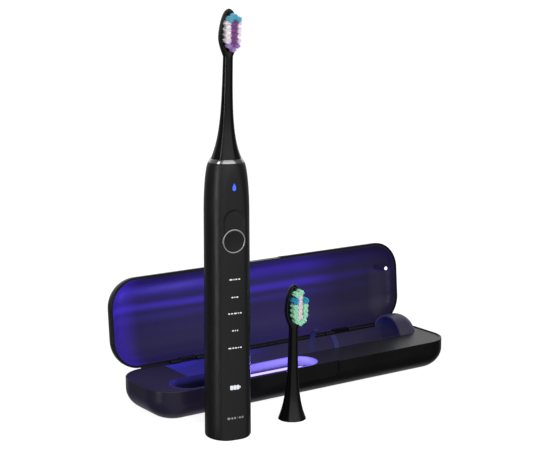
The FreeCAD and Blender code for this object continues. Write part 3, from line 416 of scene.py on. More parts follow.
BRISTLE_BLUE = nylon("blue", "#8ad2e6")
BRISTLE_TIP_TEAL = nylon("deep_teal", "#62b8ce")
BRISTLE_WHITE = nylon("white", "#faf2f8", 0.4)
BRISTLE_PURPLE = nylon("purple", "#93619f")
BRISTLE_LILAC = nylon("lilac", "#c2a2de")
BRISTLE_TIP_PLUM = nylon("deep_plum", "#a98fc4")
BRISTLE_MINT = nylon("mint", "#9fdabc")
BRISTLE_TEAL = nylon("teal", "#2a9cc4")
BRISTLE_ROSE = nylon("rose_white", "#e2d0d8", 0.38)
# Painted shade on the lower part of a bundle's bristles: the dark gaps that set one bundle off from
# the next.
BRISTLE_SHADE_GREY = nylon("painted_shade_grey", "#4a4450", 0.6, 0.0)
BRISTLE_SHADE_PLUM = nylon("painted_shade_plum", "#2a1838", 0.6, 0.0)
BRISTLE_SHADE_TEAL = nylon("painted_shade_teal", "#0c3a4c", 0.6, 0.0)
BRISTLE_SHADE_GREEN = nylon("painted_shade_green", "#16362a", 0.6, 0.0)

# The lid's liner, semi-gloss, with violet light from the lamps painted into its emission in bands
# along it.
LID_LINER = PaintedUvGlow(
    "abs_gloss_liner_painted_uv_glow", "#0a0910", 0.4, ior=1.46, sway=7.0,
    bands=((0.0, "#191540"), (0.14, "#1b1740"), (0.30, "#1f1a42"), (0.42, "#1a153e"),
           (0.50, "#241c60"), (0.56, "#1b1548"), (0.63, "#35249c"), (0.70, "#1c1650"),
           (0.82, "#2f228c"), (0.91, "#1b1550"), (1.0, "#0c0a18")),
    fade=((0.0, "#d8d4e8"), (0.3, "#ffffff"), (0.66, "#e8d8ff"), (0.84, "#7a6a84"),
          (1.0, "#3c3444")),
    end_glow=((0.0, "#1e1060"), (0.055, "#24127a"), (0.12, "#080616"), (0.3, "#080612"),
              (0.62, "#161128"), (1.0, "#151126")))

SLOT_FINISH = {
    "case_black": CASE_BLACK, "deck_grey": DECK_GREY, "liner_black": LID_LINER,
    "handle_black": SATIN_HANDLE, "head_black": HEAD_GLOSS, "button_black": BUTTON_BLACK,
    "chrome_trim": CHROME, "steel": STEEL, "black_rubber": RUBBER, "smoked_lamp": SMOKED,
    "blue_lamp": LIT_BLUE, "uv_lamp": UV_LIT, "led_white": LED_WHITE, "circuit_board": CIRCUIT,
    "chip_black": CHIP, "copper": COPPER, "ferrite": FERRITE, "cell_wrap": CELL,
    "natural_nylon": NYLON, "clear_guide": GUIDE, "bristle_blue": BRISTLE_BLUE,
    "bristle_white": BRISTLE_WHITE, "bristle_purple": BRISTLE_PURPLE,
    "bristle_lilac": BRISTLE_LILAC, "bristle_mint": BRISTLE_MINT, "bristle_teal": BRISTLE_TEAL,
}
NODE_FINISH = {
    "lid_sense_magnet": PEG_WHITE, "lid_shell": LID_BLACK, "handle_trough": BAY_GREY,
    "foot_trough": BAY_GREY, "charging_hood": HOOD_GREY, "handle_clip": CLIP_GREY,
    "head_trough": HEAD_BAY_GREY, "spare_tufts_white": BRISTLE_ROSE,
}


# ---------------------------------------------------------------- mesh making
def circle(count: int) -> list[float]:
    """Evenly spaced angles round a circle."""
    return [2 * math.pi * i / count for i in range(count)]


def ring(radius: float, z: float, count: int) -> Ring:
    """A level circle of points at a height."""
    return [(radius * math.cos(a), radius * math.sin(a), z) for a in circle(count)]


def ease(share: float) -> float:
    """A share from 0 to 1 that starts and ends gently."""
    share = min(max(share, 0.0), 1.0)
    return share * share * (3 - 2 * share)


def soft_min(a: float, b: float, blend: float) -> float:
    """The smaller of two lengths, rounded over where they meet."""
    low = min(a, b)
    return low - blend * math.log(math.exp((low - a) / blend) + math.exp((low - b) / blend))


def loft(rings: list[Ring], joined: bool = False, capped: bool = True) -> Mesh:
    """Skin a pile of closed rings that have equally many points.

    Args:
        rings: the rings in order.
        joined: whether the last ring meets the first.
        capped: whether the first and the last ring are closed with a face.

    Returns:
        The points and the faces.
    """
    count = len(rings[0])
    points = [point for one in rings for point in one]
    faces = []
    for row in range(len(rings) - (0 if joined else 1)):
        low = row * count
        high = (row + 1) % len(rings) * count
        for i in range(count):
            j = (i + 1) % count
            faces.append((low + i, low + j, high + j, high + i))
    if capped and not joined:
        faces.append(tuple(range(count - 1, -1, -1)))
        faces.append(tuple(range(len(points) - count, len(points))))
    return points, faces


def lathe(outline: list[tuple[float, float]], count: int, joined: bool = True) -> Mesh:
    """Turn an outline of (radius, height) points round the Z axis."""
    return loft([ring(radius, z, count) for radius, z in outline], joined=joined)


def together(parts: list[Mesh]) -> Mesh:
    """Put several meshes into one.

    Args:
        parts: the points and the faces of each.

    Returns:
        All the points and all the faces.
    """
    points: list = []
    faces: list = []
    for more, sides in parts:
        start = len(points)
        faces += [tuple(start + i for i in side) for side in sides]
        points += more
    return points, faces


def new_piece(name: str, shape: Mesh, finish: Finish, smooth_angle: float,
              placed: Matrix | None = None) -> bpy.types.Object:
    """Make a mesh piece.

    Args:
        name: the piece's name.
        shape: its points in millimetres, and its faces as numbers of points.
        finish: its material.
        smooth_angle: edges sharper than this many degrees stay crisp.
        placed: where its own axes stand, in metres.

    Returns:
        The new object.
    """
    points, faces = shape
    mesh = bpy.data.meshes.new(name)
    mesh.from_pydata([(x * MM, y * MM, z * MM) for x, y, z in points], [], faces)
    if placed is not None:
        mesh.transform(placed)
    mesh.materials.append(finish.make())
    mesh.shade_smooth()
    mesh.set_sharp_from_angle(angle=math.radians(smooth_angle))
    piece = bpy.data.objects.new(name, mesh)
    bpy.context.scene.collection.objects.link(piece)
    return piece


def cut_with(piece: bpy.types.Object, cutter: bpy.types.Object) -> None:
    """Cut one closed mesh out of another and drop the cutter.

    Args:
        piece: the piece that is cut.
        cutter: what is cut out of it.
    """
    modifier = piece.modifiers.new("cut", "BOOLEAN")
    modifier.operation = "DIFFERENCE"
    modifier.solver = "EXACT"
    modifier.object = cutter
    graph = bpy.context.evaluated_depsgraph_get()
    mesh = bpy.data.meshes.new_from_object(piece.evaluated_get(graph))
    piece.modifiers.clear()
    piece.data = mesh
    bpy.data.objects.remove(cutter)


def islands(mesh: bpy.types.Mesh) -> list[list[Vector]]:
    """Split a mesh into its separate solids, where corners in one place count as one.

    Args:
        mesh: the mesh.

    Returns:
        The corners of each solid.
    """
    spots: dict = {}
    for vertex in mesh.vertices:
        spots.setdefault(tuple(round(c, 7) for c in vertex.co), []).append(vertex.index)
    pairs = [tuple(edge.vertices) for edge in mesh.edges]
    pairs += [(same[0], other) for same in spots.values() for other in same[1:]]
    links: list[list[int]] = [[] for _ in mesh.vertices]
    for a, b in pairs:
        links[a].append(b)
        links[b].append(a)
    seen: set[int] = set()
    found = []
    for first in range(len(links)):
        if first in seen:
            continue
        waiting, solid = [first], []
        seen.add(first)
        while waiting:
            at = waiting.pop()
            solid.append(mesh.vertices[at].co)
            fresh = [near for near in dict.fromkeys(links[at]) if near not in seen]
            seen.update(fresh)
            waiting += fresh
        found.append(solid)
    return found


def area_light(name: str, size: tuple[float, float], place: Matrix, power: float,
               colour: str = "#ffffff") -> bpy.types.Object:
    """A flat rectangular light that shines along its own -Z.

    Args:
        name: its name.
        size: its width and height in metres.
        place: its axes.
        power: watts.
        colour: hex colour.

    Returns:
        The light.
    """
    data = bpy.data.lights.new(name, "AREA")
    data.shape = "RECTANGLE"
    data.size, data.size_y = size
    data.energy = power
    data.color = linear(colour)[:3]
    light = bpy.data.objects.new(name, data)
    light.matrix_world = place
    bpy.context.scene.collection.objects.link(light)
    return light


def middle_of(node: str) -> Vector:
    """The middle of a CAD node's box, in metres."""
    low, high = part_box(node)
    return (low + high) / 2


def seat(piece: bpy.types.Object, body: str, node: str) -> None:
    """Let a piece stand for a CAD node.

    Args:
        piece: the piece.
        body: the body that it rides on.
        node: the node that it replaces.
    """
    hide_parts(node)
    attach(piece, body)
    LOG.info("%s: %s stands for %s, %d faces", body, piece.name, node, len(piece.data.polygons))


@dataclass(frozen=True)
class Stand:
    """Where an upright part stands: its axis in metres, and how far it is turned from facing -Y."""

    x: float
    y: float
    z: float
    turn: float

    def matrix(self) -> Matrix:
        """The part's own axes in the shared frame, in metres."""
        return Matrix.Translation((self.x, self.y, self.z)) @ Matrix.Rotation(self.turn, 4, "Z")


# ---------------------------------------------------------------- handle
class Stroke(Enum):
    """The generic signs that stand for a mode's name, by their width in millimetres."""

    DOT = 0.75
    DASH = 1.25
    BAR = 1.9


def pill(x0: float, x1: float, z: float, height: float, corner: float = 0.0) -> Ring:
    """A flat outline with rounded ends, as (across, 0, height) points.

    Args:
        x0: its left end.
        x1: its right end.
        z: its middle's height.
        height: its full height.
        corner: the ends' radius, or 0 for full-round ends.

    Returns:
        The outline's points.
    """
    radius = corner or height / 2
    left, right = x0 + radius, x1 - radius
    low, high = z - height / 2 + radius, z + height / 2 - radius
    steps = 4
    points = []
    for cx, cz, start in ((right, high, 0), (left, high, 90), (left, low, 180), (right, low, 270)):
        for step in range(steps + 1):
            a = math.radians(start + 90 * step / steps)
            points.append((cx + radius * math.cos(a), 0.0, cz + radius * math.sin(a)))
    return points


def strokes(row: tuple[Stroke, ...], z: float, height: float, space: float = 0.5) -> list[Ring]:
    """Outlines of a centred row of signs.

    Args:
        row: the signs.
        z: the row's height on the handle.
        height: the signs' own height.
        space: between two signs.

    Returns:
        One outline for each sign.
    """
    start = -(sum(stroke.value for stroke in row) + space * (len(row) - 1)) / 2
    outlines = []
    for stroke in row:
        outlines.append(pill(start, start + stroke.value, z, height))
        start += stroke.value + space
    return outlines


@dataclass
class Handle:
    """The toothbrush handle: its shell, lit marks, button ring and collar, from its foot up."""

    stand: Stand
    # The round body, its shoulder and the collar.
    radius: float = 13.6
    top_radius: float = 13.15
    wall: float = 1.6
    bore: float = 7.0
    foot_round: float = 1.6
    shoulder: float = 133.0
    shoulder_ease: float = 1.9
    shoulder_blunt: float = 0.55
    collar: float = 162.1
    collar_radius: float = 10.1
    collar_top_radius: float = 9.2
    collar_height: float = 2.1
    collar_dome: float = 0.16
    # The crowned flat front and the thumb scoop in it.
    facet: float = 11.56
    facet_blend: float = 0.28
    facet_least_cosine: float = 0.3
    crown: float = 80.0
    scoop_depth: float = 0.8
    scoop_radius: float = 7.1
    scoop_top: float = 129.2
    scoop_edge: float = 1.3
    # The button's height and its ring.
    button: float = 117.8
    ring_radius: float = 7.0
    ring_bore: float = 6.1
    ring_proud: float = 0.35
    ring_lip: float = 0.22
    ring_depth: float = 0.8
    drill_reach: float = 4.0
    # The marks.
    mark_lift: float = 0.03
    mark_depth: float = 0.4
    mode_heights: tuple[float, ...] = (95.8, 85.4, 75.9, 65.75, 55.5)
    mode_size: float = 0.75
    print_height: float = 13.5
    print_size: float = 1.3
    battery_height: float = 31.9
    cell_left: float = -3.2
    cell_width: float = 1.8
    cell_pitch: float = 1.95
    cell_size: float = 2.6
    cell_corner: float = 0.4
    nub_left: float = 2.62
    nub_right: float = 3.3
    nub_size: float = 1.2
    nub_corner: float = 0.25
    power_height: float = 149.0
    drop_half_width: float = 1.45
    drop_half_height: float = 2.1
    drop_point: float = 1.1
    # How finely the shell is divided: columns by degrees from the front, rows by height.
    facet_edge: float = 46.0
    facet_columns: int = 128
    back_columns: int = 80
    fine_from: float = 108.0
    fine_to: float = 138.0
    foot_rows: int = 7
    lower_rows: int = 14
    fine_rows: int = 80
    shoulder_rows: int = 44
    shoulder_crowding: float = 1.6
    crisp: float = 40.0

    def profile(self, z: float) -> float:
        """Radius of the round body.

        Args:
            z: height.

        Returns:
            The radius in millimetres.
        """
        if z <= self.shoulder:
            missing = max(self.foot_round - z, 0.0)
            round_off = self.foot_round - math.sqrt(self.foot_round ** 2 - missing ** 2)
            return self.radius + (self.top_radius - self.radius) * z / self.shoulder - round_off
        share = (z - self.shoulder) / (self.collar - self.shoulder)
        drop = self.top_radius - self.collar_radius
        bend = max(1 - share ** self.shoulder_ease, 0.0) ** self.shoulder_blunt
        return self.collar_radius + drop * bend

    def facet_reach(self, angle: float) -> float:
        """Distance from the axis to the crowned facet.

        Args:
            angle: radians from the front.

        Returns:
            The distance in millimetres.
        """
        middle = self.crown - self.facet
        forward = math.cos(angle)
        chord = (middle * forward) ** 2 - middle ** 2 + self.crown ** 2
        return -middle * forward + math.sqrt(chord)

    def reach(self, angle: float, z: float, scooped: bool = True) -> float:
        """Distance from the axis to the surface.

        Args:
            angle: radians from the front.
            z: height.
            scooped: whether the thumb scoop is cut.

        Returns:
            The distance in millimetres.
        """
        body = self.profile(z)
        if math.cos(angle) < self.facet_least_cosine:
            return body
        reach = soft_min(body, self.facet_reach(angle), self.facet_blend)
        if not scooped:
            return reach
        across = reach * math.sin(angle)
        past = max(z - self.scoop_top, self.button - z, 0.0)
        gap = self.scoop_radius - math.hypot(across, past)
        flat = (self.facet - self.scoop_depth) / math.cos(angle)
        return reach + (min(flat, reach) - reach) * ease(gap / self.scoop_edge)

    def angles(self) -> list[float]:
        """Angles of the shell's columns, closer together over the facet."""
        edge, near, far = self.facet_edge, self.facet_columns, self.back_columns
        return ([math.radians(-edge + 2 * edge * i / near) for i in range(near)]
                + [math.radians(edge + (360 - 2 * edge) * i / far) for i in range(far)])

    def heights(self) -> list[float]:
        """Heights of the shell's rows, closer together at the foot, the scoop and the shoulder."""
        foot, low, high = self.foot_round, self.fine_from, self.fine_to
        rows = [foot * (1 - math.cos(math.pi / 2 * i / self.foot_rows))
                for i in range(self.foot_rows + 1)]
        for start, end, count, crowding in (
                (foot, low, self.lower_rows, 1.0), (low, high, self.fine_rows, 1.0),
                (high, self.collar, self.shoulder_rows, self.shoulder_crowding)):
            rows += [start + (end - start) * (1 - (1 - i / count) ** crowding)
                     for i in range(1, count + 1)]
        return rows

    def ring_at(self, z: float, inset: float, scooped: bool) -> Ring:
        """One ring of the shell's surface.

        Args:
            z: height.
            inset: how far it is taken in.
            scooped: whether the thumb scoop is cut.

        Returns:
            The ring's points.
        """
        points = []
        for angle in self.angles():
            reach = self.reach(angle, z, scooped) - inset
            points.append((reach * math.sin(angle), -reach * math.cos(angle), z))
        return points

    def shell(self) -> bpy.types.Object:
        """The hollow body with its facet, scoop, bore and button hole."""
        rows = self.heights()
        outside = [self.ring_at(z, 0.0, True) for z in rows]
        ceiling = self.collar - self.wall
        bore = [[(self.bore * math.sin(a), -self.bore * math.cos(a), z) for a in self.angles()]
                for z in (self.collar, ceiling)]
        inner_rows = [ceiling] + [z for z in rows[::-1] if self.foot_round < z < ceiling]
        inside = [self.ring_at(z, self.wall, False) for z in inner_rows]
        inside.append([(x, y, 0.0) for x, y, _ in self.ring_at(self.foot_round, self.wall, False)])
        shape = loft(outside + bore + inside, joined=True)
        shell = new_piece("handle_body", shape, SATIN_HANDLE, self.crisp)
        reach = self.drill_reach
        hole = lathe([(self.ring_radius, -reach), (self.ring_radius, reach)], 96, joined=False)
        upright = Stand(0.0, 0.0, 0.0, 0.0)
        cut_with(shell, new_piece("button_drill", hole, SATIN_HANDLE, self.crisp,
                                  self.front(upright, self.button, self.facet)))
        shell.data.transform(self.stand.matrix())
        shell.data.set_sharp_from_angle(angle=math.radians(self.crisp))
        return shell

    def front(self, stand: Stand, z: float, depth: float) -> Matrix:
        """Axes on the facet: X across, Y up the handle, Z out of it.

        Args:
            stand: where the handle stands.
            z: height.
            depth: distance from the handle's axis.

        Returns:
            The matrix in metres.
        """
        face = Matrix.Translation((0, -depth * MM, z * MM)) @ Matrix.Rotation(math.pi / 2, 4, "X")
        return stand.matrix() @ face

    def button_ring(self) -> bpy.types.Object:
        """The plated ring round the button, with rounded lips."""
        low, high, lip = self.ring_bore, self.ring_radius, self.ring_lip
        shelf = self.ring_proud - lip
        turns = [math.radians(a) for a in (0, 30, 60, 90)]
        outline = [(high, -self.ring_depth)]
        outline += [(high - lip + lip * math.cos(a), shelf + lip * math.sin(a)) for a in turns]
        outline += [(low + lip - lip * math.sin(a), shelf + lip * math.cos(a)) for a in turns]
        outline.append((low, -self.ring_depth))
        place = self.front(self.stand, self.button, self.facet - self.scoop_depth)
        return new_piece("button_ring", lathe(outline, 128), CHROME, 50.0, place)

    def collar_band(self) -> bpy.types.Object:
        """The plated band under the head, slightly domed."""
        steps = 8
        outline = [(self.bore, 0.0)]
        for i in range(steps + 1):
            share = i / steps
            radius = self.collar_radius + (self.collar_top_radius - self.collar_radius) * share
            outline.append((radius + self.collar_dome * math.sin(math.pi * share),
                            self.collar_height * share))
        outline.append((self.bore, self.collar_height))
        place = self.stand.matrix() @ Matrix.Translation((0, 0, self.collar * MM))
        return new_piece("collar_band", lathe(outline, 128), CHROME, 50.0, place)

    def marks(self, name: str, outlines: list[Ring], finish: Finish) -> bpy.types.Object:
        """Thin signs that follow the facet's crown.

        Args:
            name: the piece's name.
            outlines: closed outlines of (across, 0, height) points.
            finish: their material.

        Returns:
            One piece with all the signs.
        """
        signs = []
        for outline in outlines:
            faces = []
            for lift in (self.mark_lift, -self.mark_depth):
                faces.append([(across, -self.facet + self.crown
                               - math.sqrt(self.crown ** 2 - across ** 2) - lift, z)
                              for across, _, z in outline])
            signs.append(loft(faces))
        return new_piece(name, together(signs), finish, 30.0, self.stand.matrix())

    def mode_marks(self) -> bpy.types.Object:
        """Five rows of dots and dashes, one for each mode."""
        dot, dash, bar = Stroke.DOT, Stroke.DASH, Stroke.BAR
        rows = ((bar, dot, dash, dash), (dash, dot, dash), (dash, dash, bar, dot, dash),
                (dash, dot, dot), (bar, dash, dash, dot, dash))
        outlines = [one for z, row in zip(self.mode_heights, rows)
                    for one in strokes(row, z, self.mode_size)]
        return self.marks("mode_marks", outlines, LIT_WHITE)

    def printed_dashes(self) -> bpy.types.Object:
        """A row of plain grey dashes printed low on the facet."""
        dot, dash, bar = Stroke.DOT, Stroke.DASH, Stroke.BAR
        outlines = strokes((bar, dash, dash, dot, dash, dash), self.print_height, self.print_size)
        return self.marks("printed_dashes", outlines, PRINTED_GREY)

    def battery_mark(self) -> bpy.types.Object:
        """A lit battery sign: three cells and a nub."""
        lefts = [self.cell_left + self.cell_pitch * i for i in range(3)]
        outlines = [pill(left, left + self.cell_width, self.battery_height, self.cell_size,
                         self.cell_corner) for left in lefts]
        outlines.append(pill(self.nub_left, self.nub_right, self.battery_height, self.nub_size,
                             self.nub_corner))
        return self.marks("battery_mark", outlines, LIT_WHITE)

    def power_mark(self) -> bpy.types.Object:
        """A lit water drop."""
        outline = []
        for a in circle(40):
            width = self.drop_half_width * math.sin(a) * math.sin(a / 2) ** self.drop_point
            outline.append((width, 0.0, self.power_height + self.drop_half_height * math.cos(a)))
        return self.marks("power_mark", [outline[::-1]], LIT_BLUE)

    def build(self) -> None:
        """Make every piece of the handle and let it ride on its body."""
        for piece, node, slot in (
                (self.shell(), "handle_shell", "handle_black"),
                (self.button_ring(), "button_bezel", "chrome_trim"),
                (self.collar_band(), "collar_ring", "chrome_trim"),
                (self.mode_marks(), "mode_lamp_windows", "smoked_lamp"),
                (self.battery_mark(), "battery_lamp_window", "smoked_lamp"),
                (self.power_mark(), "power_lamp_window", "blue_lamp")):
            seat(piece, "handle", node)
        dashes = self.printed_dashes()
        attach(dashes, "handle")
        LOG.info("handle: %s", dashes.name)


# ---------------------------------------------------------------- brush heads
@dataclass(frozen=True)
class Tufts:
    """One kind of bristle: its CAD node and slot, its finishes, and how its bundles stand.

    splay is how far the bristles lean outwards at a bundle's edge, as a slope. gather is how much
    of the CAD bundle's radius they fill, and count is how many there are in a bundle.
    """

    node: str
    slot: str
    finish: Finish
    tip: Finish
    # Painted shade: the darker finish of the bristles' lower part, deep in the bundle.
    root: Finish
    splay: float = 0.0
    gather: float = 0.7
    count: int = 60


@dataclass
class BrushHead:
    """A push-on head from its skirt's foot up: a smooth shell and bundles of real bristles."""

    stand: Stand
    lean: float
    body: str
    nodes: dict[str, bpy.types.Object]
    prefix: str = ""
    # The skirt, faceted near its foot, and the neck.
    height: float = 83.7
    skirt: float = 8.8
    neck: float = 2.72
    narrowing: float = 14.2
    straight: float = 5.0
    sides: int = 12
    crease: float = 0.55
    crease_top: float = 14.0
    crease_fade: float = 30.0
    foot_edge: float = 0.25
    foot_taper: float = 0.985
    wall: float = 1.3
    wall_spare: float = 0.1
    hollow_step: float = 1.0
    socket: float = 4.1
    socket_lead: float = 0.3
    socket_top: float = 15.5
    # The blade that carries the bristles.
    widest: float = 68.5
    blade_rise: float = 15.4
    blade_drop: float = 11.0
    blade_half: float = 5.8
    blade_least: float = 0.02
    flank_ease: float = 1.8
    flank_blunt: float = 1.2
    tip_ease: float = 1.6
    tip_round: float = 1.4
    tip_thinning: float = 0.55
    paddle_front: float = 1.8
    paddle_back: float = 2.2
    squareness: float = 2.4
    blend_lead: float = 2.0
    blend_short: float = 1.0
    # How finely the shell is divided.
    columns: int = 96
    neck_rows: int = 100
    tip_rows: int = 36
    # Where the bundles stand, and their bristles.
    bundle_middle: float = 71.3
    draw_side: float = 0.9
    draw_up: float = 0.95
    trim: float = 0.84
    crown_drop: float = 0.05
    thickness: float = 0.27
    bristle_sides: int = 6
    sunk: float = 0.2
    root_end: float = 0.28
    tip_start: float = 0.86
    end_round: float = 0.15
    # How far the bristles' angles (radians), slopes and lengths stray.
    stray_angle: float = 0.15
    stray_slope: float = 0.012
    stray_length: float = 0.3

    def centre(self, z: float) -> float:
        """How far the leaning neck's middle stands from the axis at a height."""
        return -math.tan(math.radians(self.lean)) * max(z - self.straight, 0.0)

    def round_part(self, z: float) -> float:
        """The radius of the skirt and neck at a height."""
        return self.neck + (self.skirt - self.neck) * math.exp(-z / self.narrowing)

    def half_width(self, z: float) -> float:
        """Half the shell's width.

        Args:
            z: height.

        Returns:
            The half width in millimetres.
        """
        if z < self.widest:
            past = min((self.widest - z) / self.blade_drop, 1.0)
            flank = (1 - past ** self.flank_ease) ** self.flank_blunt
            return self.round_part(z) + (self.blade_half - self.round_part(z)) * flank
        past = min((z - self.widest) / self.blade_rise, 1.0)
        return max(self.blade_half * math.sqrt(1 - past ** self.tip_ease), self.blade_least)

    def section(self, z: float) -> Ring:
        """The outline of the shell.

        Args:
            z: height.

        Returns:
            The outline's points.
        """
        neck, across = self.round_part(z), self.half_width(z)
        into = z - self.widest + self.blade_drop + self.blend_lead
        share = ease(into / (self.blade_drop - self.blend_short))
        edge = 1 - (1 - ease((self.height - z) / self.tip_round)) * self.tip_thinning
        front = neck + (self.paddle_front * edge - neck) * share
        back = neck + (self.paddle_back * edge - neck) * share
        power = 2.0 + self.squareness * share
        facets = self.crease * (1 - ease((z - self.crease_top) / self.crease_fade))
        half_side = math.pi / self.sides
        points = []
        for a in circle(self.columns):
            sine, cosine = math.sin(a), math.cos(a)
            bulge = (abs(sine) ** power + abs(cosine) ** power) ** (-1 / power)
            turn = (a + half_side) % (2 * half_side) - half_side
            bulge *= 1 + facets * (math.cos(half_side) / math.cos(turn) - 1)
            deep = back if cosine < 0 else front
            points.append((across * bulge * sine, self.centre(z) - deep * bulge * cosine, z))
        return points

    def shell(self) -> bpy.types.Object:
        """The shell with its hollow skirt."""
        rows = [0.0, self.foot_edge]
        rows += [self.widest * i / self.neck_rows for i in range(1, self.neck_rows + 1)]
        rows += [self.widest + self.blade_rise * math.sin(math.pi / 2 * i / self.tip_rows)
                 for i in range(1, self.tip_rows)]
        outside = [self.section(z) for z in rows + [self.height]]
        outside[0] = [(x * self.foot_taper, y * self.foot_taper, z) for x, y, z in outside[0]]
        hollow = []
        for z, radius in ((self.socket_top, self.socket),
                          (self.straight, self.socket + self.socket_lead),
                          (self.hollow_step, self.skirt - self.wall),
                          (0.0, self.skirt - self.wall)):
            reach = min(radius, self.round_part(z) - self.wall + self.wall_spare)
            hollow.append([(reach * math.sin(a), -reach * math.cos(a), z)
                           for a in circle(self.columns)])
        return new_piece(self.prefix + "head_body", loft(hollow + outside), HEAD_GLOSS, 45.0,
                         self.stand.matrix())

    def facing(self) -> Vector:
        """The direction that the bristles point in."""
        level = Matrix.Rotation(self.stand.turn, 3, "Z")
        level = level @ Matrix.Rotation(math.radians(self.lean), 3, "X")
        return (level @ Vector((0, -1, 0))).normalized()

    def bundles(self, node: str) -> list[tuple[Vector, float, float]]:
        """Where the node's plain bundles stand.

        Args:
            node: the CAD node.

        Returns:
            For each bundle its root, its length and its radius, in metres.
        """
        out = self.facing()
        found = []
        for cloud in islands(self.nodes[node].data):
            reach = [point.dot(out) for point in cloud]
            low, high = min(reach), max(reach)
            roots = [point for point, at in zip(cloud, reach) if at < (low + high) / 2]
            root = sum(roots, Vector()) / len(roots)
            radius = max((point - root).length for point in roots)
            found.append((root, high - low, radius))
        found.sort(key=lambda bundle: (round(bundle[0].z, 5), round(bundle[0].x, 5)))
        return found

    def gathered(self, root: Vector) -> Vector:
        """Draw a bundle's root in towards the middle of the blade.

        Args:
            root: where the CAD has it, in metres.

        Returns:
            Where it stands, in metres.
        """
        z = self.bundle_middle
        offset = root - self.stand.matrix() @ Vector((0, self.centre(z) * MM, z * MM))
        side = self.facing().cross(UP).normalized()
        return (root - side * offset.dot(side) * (1 - self.draw_side)
                - UP * offset.z * (1 - self.draw_up))

    def bristle(self, foot: Vector, lean: Vector, top: float, axes: tuple[Vector, Vector]) -> Mesh:
        """One bristle, rounded at its end.

        Args:
            foot: where it starts, in metres.
            lean: its direction.
            top: its length in metres.
            axes: two directions across it.

        Returns:
            Its points in millimetres and its faces.
        """
        side, up = axes
        rings = []
        for reach, share in ((0.0, 1.0), (top * self.root_end, 1.0), (top * self.tip_start, 1.0),
                             (top - self.end_round * MM, 0.95), (top, 0.45)):
            middle, radius = foot + lean * reach, self.thickness / 2 * MM * share
            places = [middle + (side * math.cos(a) + up * math.sin(a)) * radius
                      for a in circle(self.bristle_sides)]
            rings.append([(place.x / MM, place.y / MM, place.z / MM) for place in places])
        return loft(rings)

    def bristles(self, kind: Tufts, seed: int) -> bpy.types.Object:
        """Replace a node's plain bundles with bristles.

        Args:
            kind: the node, the finishes and how the bristles stand.
            seed: start of the random draws.

        Returns:
            One piece with all the node's bristles.
        """
        draw = random.Random(seed)
        golden = math.pi * (3 - math.sqrt(5))
        out = self.facing()
        side = out.cross(UP).normalized()
        up = side.cross(out)
        slope = self.stray_slope
        grown = []
        for plain_root, length, radius in self.bundles(kind.node):
            root = self.gathered(plain_root)
            for i in range(kind.count):
                spread = radius * math.sqrt((i + 0.5) / kind.count) * kind.gather
                share = spread / radius
                a = i * golden + draw.uniform(-self.stray_angle, self.stray_angle)
                offset = side * math.cos(a) + up * math.sin(a)
                lean = out + offset * kind.splay * share * draw.uniform(0.5, 1.5)
                lean = lean + side * draw.uniform(-slope, slope) + up * draw.uniform(-slope, slope)
                stray = draw.uniform(-self.stray_length, self.stray_length) * MM * 0.5
                top = length * self.trim * (1 - self.crown_drop * share ** 2) + stray
                foot = root + offset * spread - out * self.sunk * MM
                grown.append(self.bristle(foot, lean.normalized(), top, (side, up)))
        name = kind.node.replace("tufts", "bristles")
        piece = new_piece(name, together(grown), kind.finish, 60.0)
        piece.data.materials.append(kind.tip.make())
        piece.data.materials.append(kind.root.make())
        # The materials of a bristle's rows from the root, the lowest row painted shade, then of its
        # two ends.
        stretches = (2, 0, 1, 1, 1)
        each = len(grown[0][1])
        for number, face in enumerate(piece.data.polygons):
            face.material_index = stretches[number % each // self.bristle_sides]
        return piece

    def build(self, *tufts: Tufts) -> None:
        """Make the shell and the bristles and let them ride on the head's body.

        Args:
            tufts: the kinds of bristle on it.
        """
        seat(self.shell(), self.body, self.prefix + "head_shell")
        for number, kind in enumerate(tufts):
            seat(self.bristles(kind, number + 1), self.body, kind.node)


